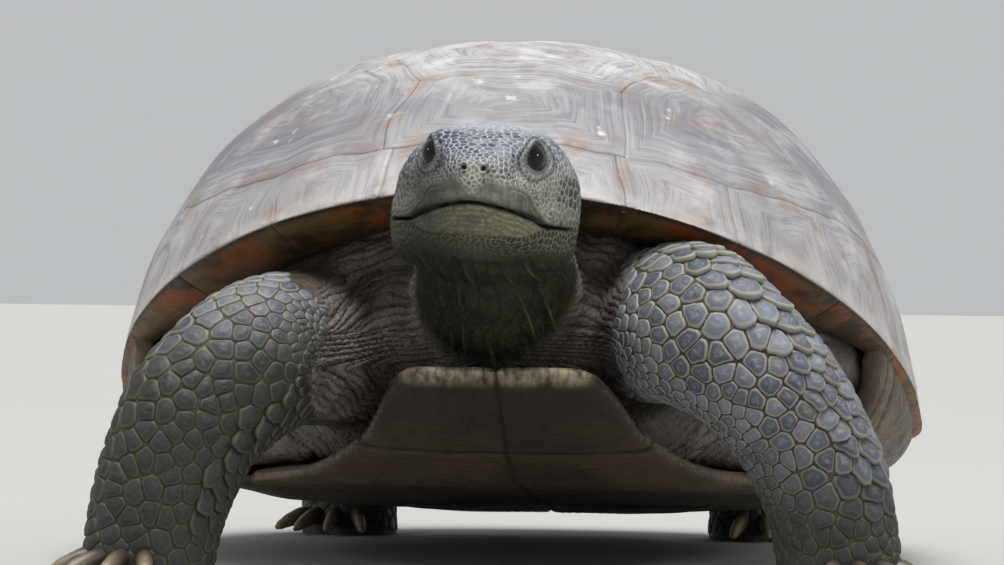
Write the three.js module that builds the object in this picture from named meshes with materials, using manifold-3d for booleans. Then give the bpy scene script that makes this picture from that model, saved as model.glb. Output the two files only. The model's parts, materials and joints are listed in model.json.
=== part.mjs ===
// A gopher tortoise (Gopherus polyphemus), standing with its head raised.
// Millimetres, +Z up, the head towards -Y and the animal's left side towards +X.
// The shell is laid out level about its own middle, then pitched nose-up and lifted.
// The limbs and the head are laid out in the standing frame.

import * as THREE from 'three';
import { mergeVertices } from 'three/addons/utils/BufferGeometryUtils.js';
import Module from 'manifold-3d';

const wasm = await Module();
wasm.setup();

// ---------------------------------------------------------------- driving sizes

const GAP = 0.35;
// The trunk fills the shell up to this far from its inner face, and its side walls start
// this far below the marginals' underside.
const TRUNK_GAP = 1.2;
const TRUNK_BELOW_RIM = 5;
const TRUNK_DRAW = 0.16;
const SEAM = 0.4;
const SEAM_OUT = 7;
const SEAM_INTO = 27;

const SHELL_LENGTH = 280;
const SHELL_WIDTH = 207;
const SHELL_TOP = 117.3;
const SHELL_WALL = 5;
const RIM_FRONT = 67;
const RIM_SIDE = 20.5;
const RIM_REAR = 26;
const OUTLINE_POWER = 2.35;
// How square the dome's section is, and how steeply it meets the rim, in degrees.
const DOME_POWER = { side: 2.364, front: 2.274, rear: 2.722 };
const DOME_END = { side: 77, front: 66, rear: 82 };
const SHELL_LIFT = 15;
const SHELL_PITCH = THREE.MathUtils.degToRad(4.5);

const SHELL_AROUND = 28;
const TRUNK_AROUND = 16;
const OUTER_ROWS = 5;
const INNER_ROWS = 3;
const SHELL_ROWS = OUTER_ROWS + INNER_ROWS;

// Rim angles where one marginal scute ends and the next begins, from the nuchal to the tail.
const MARGINAL_ENDS = [3.2, 16.5, 32, 49, 64.5, 78, 90, 102, 115.5, 131, 149, 167];
// The seams across the back, and the half width of the vertebrals at each one.
const VERTEBRAL_SEAMS = [
  { y: -100, halfWidth: 24.5 },
  { y: -43, halfWidth: 26 },
  { y: 19, halfWidth: 25 },
  { y: 77, halfWidth: 20 },
];
// Where each costal seam leaves a vertebral's side corner, and the rim angle it runs to.
const COSTAL_SEAMS = [
  { y: -72, halfWidth: 33, rimAngle: 62 },
  { y: -12, halfWidth: 35, rimAngle: 86 },
  { y: 48, halfWidth: 32, rimAngle: 110 },
];
const FIRST_VERTEBRAL_ANGLE = 18;
const LAST_VERTEBRAL_ANGLE = 160;
// The scutes of the front half grew a little towards the animal's left.
const SKEW_ANGLE = THREE.MathUtils.degToRad(2.6);
const SKEW_ACROSS = 4.7;

const PLASTRON_WALL = 5;
const PLASTRON_FRONT = -150;
const PLASTRON_REAR = 121;
const PLASTRON_NOTCH = 9;
const GULAR_RISE = 21.5;
const BRIDGE_FRONT = -58;
const BRIDGE_REAR = 58;
const PLASTRON_SEAMS = [-116, -66, -44, 42, 86];

const HEAD_ORIGIN = new THREE.Vector3(5.9, -158, 91);
const HEAD_TURN = THREE.MathUtils.degToRad(-1.6);
const HEAD_ROLL = THREE.MathUtils.degToRad(3);
const EYE_RADIUS = 4.7;
const EYE_PLACE = new THREE.Vector3(8.9, 32.6, 7.4);

// ---------------------------------------------------------------- small helpers

const lerp = THREE.MathUtils.lerp;
const rad = THREE.MathUtils.degToRad;

function smooth(from, to, x) {
  return THREE.MathUtils.smoothstep(x, from, to);
}

// Moves every point of a closed geometry and returns it as a solid with its faces out.
function solidFrom(geometry, place) {
  geometry.deleteAttribute('normal');
  geometry.deleteAttribute('uv');
  const merged = mergeVertices(geometry, 1e-4);
  const points = merged.attributes.position;
  const point = new THREE.Vector3();
  for (let i = 0; i < points.count; i += 1) {
    point.fromBufferAttribute(points, i);
    place(point);
    points.setXYZ(i, point.x, point.y, point.z);
  }
  const triangles = new Uint32Array(merged.index.array);
  const solid = toSolid(points.array, triangles);
  if (solid.volume() > 0) {
    return solid;
  }
  for (let i = 0; i < triangles.length; i += 3) {
    [triangles[i], triangles[i + 1]] = [triangles[i + 1], triangles[i]];
  }
  return toSolid(points.array, triangles);
}

function toSolid(coordinates, triangles) {
  const mesh = new wasm.Mesh({
    numProp: 3,
    vertProperties: new Float32Array(coordinates),
    triVerts: triangles,
  });
  return new wasm.Manifold(mesh);
}

function joined(solids) {
  return solids.reduce((whole, solid) => whole.add(solid));
}

function without(solid, others) {
  return others.reduce((rest, other) => rest.subtract(other), solid);
}

function largest(solid) {
  const pieces = solid.decompose();
  return pieces.reduce((best, piece) => (piece.volume() > best.volume() ? piece : best));
}

function middle(solid) {
  const { vertProperties, triVerts } = solid.getMesh();
  const corner = (i) => new THREE.Vector3().fromArray(vertProperties, 3 * triVerts[i]);
  const sum = new THREE.Vector3();
  let volume = 0;
  for (let i = 0; i < triVerts.length; i += 3) {
    const [a, b, c] = [corner(i), corner(i + 1), corner(i + 2)];
    const part = a.dot(b.clone().cross(c));
    sum.addScaledVector(a.add(b).add(c), part / 4);
    volume += part;
  }
  return sum.divideScalar(volume);
}

// ---------------------------------------------------------------- the shell's form

// Turns a point of the level shell into the standing pose.
function stand(point) {
  const { y, z } = point;
  point.y = y * Math.cos(SHELL_PITCH) + z * Math.sin(SHELL_PITCH);
  point.z = SHELL_LIFT - y * Math.sin(SHELL_PITCH) + z * Math.cos(SHELL_PITCH);
  return point;
}

function rimHeight(angle) {
  const c = Math.cos(angle);
  const heights = { side: RIM_SIDE, front: RIM_FRONT, rear: RIM_REAR };
  return towards(heights, Math.max(c, 0) ** 1.25, smooth(0.2, 1, -c));
}

// The rim's outline from above, angle 0 at the head.
function rimOutline(angle) {
  const c = Math.cos(angle);
  const s = Math.sin(angle);
  const power = OUTLINE_POWER;
  const reach = (Math.abs(c) ** power + Math.abs(s) ** power) ** (-1 / power);
  const taper = 1 - 0.035 * smooth(0, 1, c);
  return new THREE.Vector2((SHELL_WIDTH / 2) * s * reach * taper, (-SHELL_LENGTH / 2) * c * reach);
}

function towards({ side, front, rear }, frontShare, rearShare) {
  return side + (front - side) * frontShare + (rear - side) * rearShare;
}

// How far out and how high the dome is at r, from 0 on top to 1 at the rim and on past it.
function profile(angle, r) {
  if (r > 1) {
    return { spread: r, height: 1 - r };
  }
  const c = Math.cos(angle);
  const power = 2 / towards(DOME_POWER, smooth(0, 1, c), smooth(0, 1, -c));
  const end = rad(towards(DOME_END, smooth(0.2, 1, c), smooth(0.2, 1, -c)));
  const low = Math.cos(end) ** power;
  const spread = (Math.sin(r * end) / Math.sin(end)) ** power;
  const height = (Math.cos(r * end) ** power - low) / (1 - low);
  return { spread, height };
}

// A dome over the rim outline drawn in by inset and by share, between two heights.
function domePoint(point, angle, r, { inset, share, rim, top }) {
  const { spread, height } = profile(angle, r);
  const outline = rimOutline(angle);
  const reach = spread * (share - inset / outline.length());
  return point.set(outline.x * reach, outline.y * reach, lerp(rim, top, height));
}

// The marginals' underside runs in from the rim: far at the openings, a little at the bridge.
function undersideShare(angle) {
  return lerp(0.945, 0.86, smooth(0.42, 0.75, Math.abs(Math.cos(angle))));
}

function undersideDrop(angle) {
  return lerp(3, 6, smooth(0.42, 0.75, Math.cos(angle)));
}

function innerDome(angle, clearance) {
  return {
    inset: clearance,
    share: undersideShare(angle),
    rim: rimHeight(angle) - undersideDrop(angle) - clearance,
    top: SHELL_TOP - SHELL_WALL - clearance,
  };
}

// Reads a unit sphere's point as an angle round Z and a row counted from the top.
function sphereRow(point, rows) {
  const angle = Math.atan2(point.x, -point.y);
  const row = Math.round((Math.acos(THREE.MathUtils.clamp(point.z, -1, 1)) / Math.PI) * rows);
  return { angle, row };
}

function uprightSphere(around, rows) {
  return new THREE.SphereGeometry(1, around, rows).rotateX(Math.PI / 2);
}

function carapaceSolid(grow) {
  return solidFrom(uprightSphere(SHELL_AROUND, SHELL_ROWS), (point) => {
    const { angle, row } = sphereRow(point, SHELL_ROWS);
    if (row <= OUTER_ROWS) {
      const rim = rimHeight(angle) - (row === OUTER_ROWS ? grow : 0);
      const outer = { inset: -grow, share: 1, rim, top: SHELL_TOP + grow };
      domePoint(point, angle, row / OUTER_ROWS, outer);
    } else {
      const r = (SHELL_ROWS - row) / (INNER_ROWS - 1);
      domePoint(point, angle, r, innerDome(angle, grow));
    }
    stand(point);
  });
}

// ---------------------------------------------------------------- the scute seams

function seamRow(angle) {
  return 0.8 + 0.06 * smooth(0.5, 0.85, Math.cos(angle));
}

function skewed(angle) {
  return angle + SKEW_ANGLE * smooth(-0.2, 0.8, Math.cos(angle));
}

function skewAcross(y) {
  return SKEW_ACROSS * smooth(-80, 40, -y);
}

function planPoint(x, y) {
  return new THREE.Vector2(x + skewAcross(y), y);
}

// The dome's angle and row under a point of the plan.
function planToDome(x, y) {
  let angle = Math.atan2(x / SHELL_WIDTH, -y / SHELL_LENGTH);
  for (let i = 0; i < 4; i += 1) {
    const taper = 1 - 0.035 * smooth(0, 1, Math.cos(angle));
    angle = Math.atan2(x / (SHELL_WIDTH * taper), -y / SHELL_LENGTH);
  }
  const wanted = Math.hypot(x, y) / rimOutline(angle).length();
  let [low, high] = [0, 1];
  for (let i = 0; i < 24; i += 1) {
    const r = (low + high) / 2;
    [low, high] = profile(angle, r).spread < wanted ? [r, high] : [low, r];
  }
  return { angle, r: (low + high) / 2 };
}

function domeSurface(angle, r) {
  const outer = { inset: 0, share: 1, rim: rimHeight(angle), top: SHELL_TOP };
  return domePoint(new THREE.Vector3(), angle, r, outer);
}

function domeNormal(angle, r) {
  const step = 1e-3;
  const row = Math.min(Math.max(r, 2 * step), 1 - 2 * step);
  const around = domeSurface(angle + step, row).sub(domeSurface(angle - step, row));
  const down = domeSurface(angle, row + step).sub(domeSurface(angle, row - step));
  return down.cross(around).normalize();
}

// A thin wall along a line of places on the dome, standing through the shell.
// Each place gives four corners, and both broad faces are split along the same diagonals,
// so that a wall which twists keeps its thickness.
function seamWall(places) {
  const last = places.length - 1;
  const surface = places.map(({ angle, r }) => domeSurface(angle, r));
  const normals = places.map(({ angle, r }) => domeNormal(angle, r));
  const corners = surface.flatMap((at, i) => {
    const along = surface[Math.min(i + 1, last)].clone().sub(surface[Math.max(i - 1, 0)]);
    const side = along.cross(normals[i]).setLength(SEAM / 2);
    const outer = at.clone().addScaledVector(normals[i], SEAM_OUT);
    const inner = at.clone().addScaledVector(normals[i], -SEAM_INTO);
    return [outer.clone().add(side), inner.clone().add(side), inner.sub(side), outer.sub(side)];
  });
  const triangles = [0, 2, 1, 0, 3, 2];
  for (let i = 0; i < last; i += 1) {
    const [a, b, c, d] = [4 * i, 4 * i + 1, 4 * i + 2, 4 * i + 3];
    const [e, f, g, h] = [a + 4, b + 4, c + 4, d + 4];
    triangles.push(a, b, f, a, f, e, b, c, g, b, g, f, c, d, g, d, h, g, d, a, e, d, e, h);
  }
  const end = 4 * last;
  triangles.push(end, end + 1, end + 2, end, end + 2, end + 3);
  const geometry = new THREE.BufferGeometry().setFromPoints(corners).setIndex(triangles);
  return solidFrom(geometry, stand);
}

// Evenly spaced places on the dome over a straight line of the plan.
function planLine(from, to, steps, overrun) {
  const over = to.clone().sub(from).setLength(overrun);
  const start = from.clone().sub(over);
  const end = to.clone().add(over);
  return Array.from({ length: steps + 1 }, (_, i) => {
    const at = start.clone().lerp(end, i / steps);
    return planToDome(at.x, at.y);
  });
}

function ringPlace(degrees, side) {
  const angle = skewed(side * rad(degrees));
  const at = domeSurface(angle, seamRow(angle));
  return new THREE.Vector2(at.x, at.y);
}

function seamWalls() {
  const walls = [];
  const ringSteps = SHELL_AROUND / 2 + 1;
  const ring = Array.from({ length: ringSteps + 1 }, (_, i) => (i / SHELL_AROUND) * 2 * Math.PI);
  for (const start of [0, Math.PI]) {
    walls.push(seamWall(ring.map((a) => ({ angle: start + a, r: seamRow(start + a) }))));
  }
  for (const { y, halfWidth } of VERTEBRAL_SEAMS) {
    walls.push(seamWall(planLine(planPoint(-halfWidth, y), planPoint(halfWidth, y), 2, 1)));
  }
  for (const side of [-1, 1]) {
    for (const degrees of MARGINAL_ENDS) {
      const angle = skewed(side * rad(degrees));
      const start = seamRow(angle) - 0.012;
      const rows = [start, 1, 1.06];
      walls.push(seamWall(rows.map((r) => ({ angle, r }))));
    }
    const corners = [ringPlace(FIRST_VERTEBRAL_ANGLE, side)];
    VERTEBRAL_SEAMS.forEach((seam, i) => {
      corners.push(planPoint(side * seam.halfWidth, seam.y));
      const costal = COSTAL_SEAMS[i];
      if (costal) {
        corners.push(planPoint(side * costal.halfWidth, costal.y));
      }
    });
    corners.push(ringPlace(LAST_VERTEBRAL_ANGLE, side));
    for (let i = 1; i < corners.length; i += 1) {
      walls.push(seamWall(planLine(corners[i - 1], corners[i], 2, 0.5)));
    }
    for (const { y, halfWidth, rimAngle } of COSTAL_SEAMS) {
      walls.push(seamWall(planLine(planPoint(side * halfWidth, y), ringPlace(rimAngle, side), 2, 0.7)));
    }
  }
  return walls;
}

// A place near the middle of each scute, to name the pieces by.
function scutePlaces() {
  const places = { nuchal: { angle: skewed(0), r: 0.88 }, supracaudal: { angle: Math.PI, r: 0.9 } };
  const middles = [-115, -72, -12, 48, 104];
  middles.forEach((y, i) => {
    places[`vertebral_${i + 1}`] = planToDome(0, y);
  });
  for (const [name, side] of [['left', 1], ['right', -1]]) {
    for (let i = 1; i < MARGINAL_ENDS.length; i += 1) {
      const angle = skewed(side * rad((MARGINAL_ENDS[i - 1] + MARGINAL_ENDS[i]) / 2));
      places[`marginal_${name}_${i}`] = { angle, r: 0.9 };
    }
    [[50, -90], [64, -38], [66, 20], [50, 80]].forEach(([x, y], i) => {
      places[`costal_${name}_${i + 1}`] = planToDome(side * x, y);
    });
  }
  return places;
}

function nameByPlace(pieces, places) {
  const left = pieces.map((solid) => ({ solid, centre: middle(solid) }));
  const named = {};
  for (const [name, place] of Object.entries(places)) {
    left.sort((a, b) => a.centre.distanceTo(place) - b.centre.distanceTo(place));
    named[name] = left.shift().solid;
  }
  return named;
}

function carapaceScutes() {
  const pieces = carapaceSolid(0).subtract(joined(seamWalls())).decompose();
  const places = {};
  for (const [name, { angle, r }] of Object.entries(scutePlaces())) {
    const point = domeSurface(angle, r).addScaledVector(domeNormal(angle, r), -SHELL_WALL / 2);
    places[name] = stand(point);
  }
  const count = Object.keys(places).length;
  const whole = pieces.filter((piece) => piece.volume() > 20);
  if (whole.length !== count) {
    throw new Error(`the carapace falls into ${whole.length} pieces, not ${count}`);
  }
  return nameByPlace(whole, places);
}

// ---------------------------------------------------------------- the plastron

const plastronEdge = new THREE.SplineCurve([
  new THREE.Vector2(PLASTRON_FRONT, 20),
  new THREE.Vector2(-141, 25),
  new THREE.Vector2(-120, 33),
  new THREE.Vector2(-96, 52),
  new THREE.Vector2(-62, 68),
  new THREE.Vector2(0, 72),
  new THREE.Vector2(60, 66),
  new THREE.Vector2(86, 45),
  new THREE.Vector2(106, 38),
  new THREE.Vector2(PLASTRON_REAR, 23),
]);

function gularRise(y) {
  return GULAR_RISE * smooth(92, 152, -y) ** 1.15;
}

function plastronPlate(grow) {
  const plate = new THREE.BoxGeometry(1, 1, 1, 2, 12, 1);
  return solidFrom(plate, (point) => {
    const edge = plastronEdge.getPoint(point.y + 0.5);
    const across = 2 * point.x;
    const notch = PLASTRON_NOTCH * smooth(70, PLASTRON_REAR, edge.x) * (1 - Math.abs(across));
    const y = edge.x - notch + 2 * grow * point.y;
    const z = (point.z > 0 ? PLASTRON_WALL + grow : -grow) + gularRise(edge.x);
    point.set(across * (edge.y + grow) + skewAcross(y), y, z);
    stand(point);
  });
}

// One side wall between plastron and rim, from under the plate's edge up into the marginals.
function bridge(side, grow) {
  const wall = new THREE.BoxGeometry(1, 1, 1, 1, 4, 3);
  return solidFrom(wall, (point) => {
    const up = point.z + 0.5;
    const reach = lerp(BRIDGE_FRONT, BRIDGE_REAR, point.y + 0.5) + 2 * point.y * 8 * (up - 0.5);
    const y = reach + 2 * grow * point.y;
    const angle = Math.atan2(1 / SHELL_WIDTH, -y / SHELL_LENGTH / (SHELL_WIDTH / 2));
    const rim = rimOutline(angle);
    const top = rimHeight(angle) + 1;
    const bulge = Math.sin((up * Math.PI) / 2);
    const inside = point.x < 0;
    const out = lerp(63, rim.x * 0.985, bulge) + (inside ? -PLASTRON_WALL - grow : grow);
    const height = lerp(0.2, top, up ** 1.6) + (inside ? grow : -grow);
    point.set(side * out, y, height);
    stand(point);
  });
}

function plastronSolid(grow) {
  return joined([plastronPlate(grow), bridge(1, grow), bridge(-1, grow)]);
}

function plastronScutes() {
  const whole = largest(plastronSolid(0).subtract(carapaceSolid(GAP)));
  const reach = SHELL_LENGTH;
  const walls = PLASTRON_SEAMS.map((y) =>
    solidFrom(new THREE.BoxGeometry(reach, SEAM, reach), (point) => stand(point.setY(point.y + y))),
  );
  const midline = new THREE.BoxGeometry(SEAM, 2 * reach, reach, 1, 16, 1);
  walls.push(solidFrom(midline, (point) => stand(point.setX(point.x + skewAcross(point.y)))));
  const names = ['gular', 'humeral', 'pectoral', 'abdominal', 'femoral', 'anal'];
  const stations = [PLASTRON_FRONT, ...PLASTRON_SEAMS, PLASTRON_REAR];
  const places = {};
  names.forEach((name, i) => {
    const y = (stations[i] + stations[i + 1]) / 2;
    for (const [hand, side] of [['left', 1], ['right', -1]]) {
      places[`${name}_${hand}`] = stand(new THREE.Vector3(side * 30, y, 8));
    }
  });
  const pieces = without(whole, walls).decompose();
  if (pieces.length !== 2 * names.length) {
    throw new Error(`the plastron falls into ${pieces.length} pieces`);
  }
  return nameByPlace(pieces, places);
}

// ---------------------------------------------------------------- flesh

function trunkSolid(grow) {
  const [domeRows, wallRows, floorRows] = [3, 3, 1];
  const rows = domeRows + wallRows + floorRows;
  return solidFrom(uprightSphere(TRUNK_AROUND, rows), (point) => {
    const { angle, row } = sphereRow(point, rows);
    const { rim } = innerDome(angle, TRUNK_BELOW_RIM);
    const dome = { ...innerDome(angle, TRUNK_GAP - grow), rim };
    domePoint(point, angle, Math.min(row / domeRows, 1), dome);
    if (row > domeRows) {
      const down = Math.min((row - domeRows) / wallRows, 1);
      const close = Math.min((rows - row) / floorRows, 1);
      const draw = (1 - TRUNK_DRAW * Math.sin(down * Math.PI * 0.5)) * close;
      point.x *= draw;
      point.y *= draw;
      point.z = lerp(rim, PLASTRON_WALL + 3 * GAP, down) - grow;
    }
    stand(point);
  });
}

// A smooth body along a curve through stations of [x, y, z, half width, up, down].
// across is the direction of the width, turned square to the curve at each ring.
function loft(stations, across, grow, { around, rowsEach }) {
  const centres = stations.map(([x, y, z]) => new THREE.Vector3(x, y, z));
  const curve = new THREE.CatmullRomCurve3(centres);
  const last = stations.length - 1;
  const rows = last * rowsEach;
  const tube = new THREE.CylinderGeometry(1, 1, 1, around, rows).rotateX(Math.PI / 2);
  return solidFrom(tube, (point) => {
    const u = point.z + 0.5;
    const i = Math.min(Math.floor(u * last), last - 1);
    const blend = smooth(0, 1, u * last - i);
    const size = (k) => lerp(stations[i][k], stations[i + 1][k], blend) + grow;
    const tangent = curve.getTangent(u);
    const side = across.clone().addScaledVector(tangent, -across.dot(tangent)).normalize();
    const up = tangent.clone().cross(side).normalize();
    const width = point.x * size(3);
    const height = point.y * size(point.y > 0 ? 4 : 5);
    const end = 2 * (u - 0.5);
    const stretch = Math.abs(end) > 0.999 ? end * grow : 0;
    point.copy(curve.getPoint(u)).addScaledVector(tangent, stretch);
    point.addScaledVector(side, width).addScaledVector(up, height);
  });
}

function claw(foot, heading, { radius, length, thick, height }) {
  const out = new THREE.Vector3(Math.sin(heading), -Math.cos(heading), 0);
  const across = new THREE.Vector3(Math.cos(heading), Math.sin(heading), 0);
  const at = (reach, z) => foot.clone().addScaledVector(out, reach).setZ(z).toArray();
  const stations = [
    [...at(radius - 5, height), thick, thick * 0.9, thick * 0.9],
    [...at(radius + length * 0.45, height * 0.85), thick * 0.8, thick * 0.7, thick * 0.6],
    [...at(radius + length, height * 0.32), 0.5, 0.5, 0.5],
  ];
  return loft(stations, across, 0, { around: 6, rowsEach: 1 });
}

function floorBlock() {
  return solidFrom(new THREE.BoxGeometry(600, 600, 60), (point) => point.setZ(point.z - 30));
}

// side +1 is the animal's left. Each fore leg has its own pose.
const FORE_LEGS = {
  left: {
    side: 1,
    across: new THREE.Vector3(0.74, -0.1, 0.67),
    stations: [
      [37, -84, 58, 20, 18, 18],
      [42, -108, 62, 21, 19, 19],
      [50, -129, 61, 20, 18, 17],
      [65, -138, 50, 17.5, 15, 13],
      [77, -138, 33, 16.5, 12, 11],
      [83, -136, 14, 15.5, 12.5, 12],
      [85, -134, -6, 15, 12, 12],
    ],
    foot: [84, -135],
    heading: 48,
  },
  right: {
    side: -1,
    across: new THREE.Vector3(0.8, 0.16, -0.58),
    stations: [
      [-35, -84, 52, 20, 18, 18],
      [-41, -108, 55, 20, 19, 19],
      [-51, -131, 53, 19.5, 18, 17],
      [-64, -141, 41, 18.5, 15, 13],
      [-71, -143, 26, 17.5, 12.5, 11],
      [-75, -142, 12, 16.5, 12.5, 12],
      [-77, -141, -6, 16, 12, 12],
    ],
    foot: [-77, -142],
    heading: -44,
  },
};

function foreLeg({ across, stations, foot, heading }, grow) {
  const parts = [loft(stations, across, grow, { around: 10, rowsEach: 2 })];
  const centre = new THREE.Vector3(foot[0], foot[1], 0);
  for (let i = -2; i <= 2; i += 1) {
    const size = { radius: 13, length: 11.5 - Math.abs(i), thick: 3.6 + grow, height: 7 };
    parts.push(claw(centre, rad(heading + i * 27), size));
  }
  return joined(parts);
}

function hindLeg(side, grow) {
  const stations = [
    [36, 70, 33, 18, 17, 17],
    [46, 89, 31, 17.5, 16, 16],
    [55, 102, 26, 16, 15, 15],
    [58, 106, 13, 14, 13.5, 13.5],
    [58, 105, -6, 15, 15, 15],
  ].map(([x, ...rest]) => [side * x, ...rest]);
  const parts = [loft(stations, new THREE.Vector3(side, 0, 0), grow, { around: 10, rowsEach: 1 })];
  const centre = new THREE.Vector3(side * 58, 105, 0);
  for (let i = 0; i < 4; i += 1) {
    const size = { radius: 13, length: 9, thick: 3.4 + grow, height: 6 };
    parts.push(claw(centre, rad(side * (-16 + i * 27)), size));
  }
  return joined(parts);
}

function tail(grow) {
  const stations = [
    [0, 100, 27, 11, 10, 9],
    [1, 118, 24, 9, 8, 8],
    [4, 133, 16, 6, 5.5, 5.5],
    [8, 141, 9.5, 2.2, 2, 2],
  ];
  return loft(stations, new THREE.Vector3(1, 0, 0), grow, { around: 8, rowsEach: 1 });
}

function neck(grow) {
  const stations = [
    [1, -84, 58, 36, 24, 22],
    [2, -108, 63, 31, 22.5, 21.5],
    [3, -126, 69, 22.5, 19.5, 20.5],
    [4.5, -144, 78, 20, 17, 19],
    [5.6, -160, 88, 16.5, 13, 13.5],
    [5.6, -172, 91, 14, 10, 10],
  ];
  return loft(stations, new THREE.Vector3(1, 0, 0), grow, { around: 12, rowsEach: 1 });
}

// Puts a point given as [right of the head, forward, up] into the standing frame.
function headToWorld(point) {
  const [x, forward, z] = point.toArray();
  point.set(x, -forward, z);
  point.applyAxisAngle(new THREE.Vector3(0, 1, 0), HEAD_ROLL);
  point.applyAxisAngle(new THREE.Vector3(0, 0, 1), HEAD_TURN);
  return point.add(HEAD_ORIGIN);
}

// The skull's back sits a little to the animal's right of its face.
function skullAside(forward) {
  return -0.8 * (1 - smooth(20, 44, forward));
}

// Stations of the skull: forward, middle height, half width, up, down.
const HEAD_STATIONS = [
  [-4, -2, 12.5, 11.5, 14.5],
  [0, -3, 18.2, 15.8, 17.2],
  [8, -3.4, 21.8, 18.4, 17.4],
  [19, -3.2, 22, 19.6, 15.4],
  [29, -3, 18.6, 18.8, 13.2],
  [37, -2.5, 14.8, 16, 11.8],
  [44, -2.5, 11.8, 12.4, 10],
  [48.5, -2.5, 8.4, 9.2, 7.8],
  [51.8, -2, 4.2, 4.6, 4],
];

function head(grow) {
  const stations = HEAD_STATIONS.map(([forward, z, halfWidth, up, down]) => {
    const centre = headToWorld(new THREE.Vector3(skullAside(forward), forward, z));
    return [...centre.toArray(), halfWidth, up, down];
  });
  const across = headToWorld(new THREE.Vector3(1, 0, 0)).sub(HEAD_ORIGIN);
  return loft(stations, across, grow, { around: 16, rowsEach: 1 });
}

function eye(side, grow) {
  const centre = headToWorld(new THREE.Vector3(side * EYE_PLACE.x, EYE_PLACE.y, EYE_PLACE.z));
  const ball = new THREE.SphereGeometry(EYE_RADIUS + grow, 10, 6);
  return solidFrom(ball, (point) => point.add(centre));
}

function fleshPieces() {
  const shell = [carapaceSolid(GAP), plastronSolid(GAP)];
  const eyes = [eye(1, GAP), eye(-1, GAP)];
  const trunk = trunkSolid(GAP);
  const floor = floorBlock();
  const outside = (solid, others = []) => largest(without(solid, [trunk, ...shell, floor, ...others]));
  return {
    trunk: largest(without(trunkSolid(0), shell)),
    head: largest(without(head(0), eyes)),
    neck: outside(neck(0), [head(GAP)]),
    leg_front_left: outside(foreLeg(FORE_LEGS.left, 0), [neck(GAP)]),
    leg_front_right: outside(foreLeg(FORE_LEGS.right, 0), [neck(GAP)]),
    leg_hind_left: outside(hindLeg(1, 0)),
    leg_hind_right: outside(hindLeg(-1, 0)),
    tail: outside(tail(0)),
    eye_left: eye(1, 0),
    eye_right: eye(-1, 0),
  };
}

// ---------------------------------------------------------------- the model

const MATERIALS = {
  shell: new THREE.MeshStandardMaterial({ color: 0x8d877c, roughness: 0.55 }),
  plastron: new THREE.MeshStandardMaterial({ color: 0x8f7c52, roughness: 0.55 }),
  skin: new THREE.MeshStandardMaterial({ color: 0x4e4944, roughness: 0.75 }),
  eye: new THREE.MeshStandardMaterial({ color: 0x17110c, roughness: 0.08 }),
};

function meshFrom(name, solid, material) {
  const { vertProperties, triVerts } = solid.getMesh();
  const geometry = new THREE.BufferGeometry();
  geometry.setAttribute('position', new THREE.BufferAttribute(new Float32Array(vertProperties), 3));
  geometry.setIndex(new THREE.BufferAttribute(new Uint32Array(triVerts), 1));
  geometry.computeVertexNormals();
  const mesh = new THREE.Mesh(geometry, material);
  mesh.name = name;
  return mesh;
}

function tortoise() {
  const group = new THREE.Group();
  const add = (pieces, material) => {
    for (const [name, solid] of Object.entries(pieces)) {
      group.add(meshFrom(name, solid, name.startsWith('eye') ? MATERIALS.eye : material));
    }
  };
  add(carapaceScutes(), MATERIALS.shell);
  add(plastronScutes(), MATERIALS.plastron);
  add(fleshPieces(), MATERIALS.skin);
  // The origin is under the middle of the whole animal, on the floor.
  const box = new THREE.Box3().setFromObject(group);
  const centre = box.getCenter(new THREE.Vector3());
  group.children.forEach((mesh) => mesh.geometry.translate(-centre.x, -centre.y, -box.min.z));
  return group;
}

export default tortoise();
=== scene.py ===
"""A gopher tortoise, life size, for a museum display.

Sizes are in millimetres in the animal's own layout: x = 0 on the shell's midline, y = 0 at the middle
of the level shell, z = 0 on the floor, the head towards -y and the animal's left towards +x.
to_row() turns a layout place into the row frame, in metres.
"""

import json
import math

import bmesh
import bpy
import numpy as np
from mathutils import Matrix, Vector
from mathutils.bvhtree import BVHTree
from mathutils.kdtree import KDTree

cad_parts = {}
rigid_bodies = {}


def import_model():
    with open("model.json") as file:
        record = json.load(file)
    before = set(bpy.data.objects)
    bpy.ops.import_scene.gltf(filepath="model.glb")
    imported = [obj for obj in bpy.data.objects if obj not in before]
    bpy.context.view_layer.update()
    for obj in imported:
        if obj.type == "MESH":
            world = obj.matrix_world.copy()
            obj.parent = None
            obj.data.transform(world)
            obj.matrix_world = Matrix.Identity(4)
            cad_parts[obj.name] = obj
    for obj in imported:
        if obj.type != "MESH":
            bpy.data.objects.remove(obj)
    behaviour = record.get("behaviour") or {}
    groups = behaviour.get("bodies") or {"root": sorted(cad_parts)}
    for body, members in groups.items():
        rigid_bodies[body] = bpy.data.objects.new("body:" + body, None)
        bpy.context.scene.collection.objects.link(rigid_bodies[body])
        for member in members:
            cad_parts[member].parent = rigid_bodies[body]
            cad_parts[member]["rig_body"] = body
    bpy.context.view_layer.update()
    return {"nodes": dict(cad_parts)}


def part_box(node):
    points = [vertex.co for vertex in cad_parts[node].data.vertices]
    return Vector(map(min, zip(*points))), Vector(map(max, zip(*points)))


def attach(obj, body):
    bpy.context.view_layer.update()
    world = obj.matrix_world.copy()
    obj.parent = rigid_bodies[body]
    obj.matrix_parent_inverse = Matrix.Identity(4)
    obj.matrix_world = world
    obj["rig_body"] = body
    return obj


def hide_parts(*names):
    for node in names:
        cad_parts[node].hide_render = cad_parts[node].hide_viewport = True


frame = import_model()


# ---------------------------------------------------------------- helpers

def smooth(low, high, x):
    t = np.clip((np.asarray(x, float) - low) / (high - low), 0, 1)
    return t * t * (3 - 2 * t)


def lerp(a, b, t):
    return a + (b - a) * t


def unit(v):
    return v / np.maximum(np.linalg.norm(v, axis=-1, keepdims=True), 1e-12)


def bump(x, centre, width):
    """A soft hill of height 1 at centre."""
    return np.exp(-((np.asarray(x, float) - centre) / width) ** 2)


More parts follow.
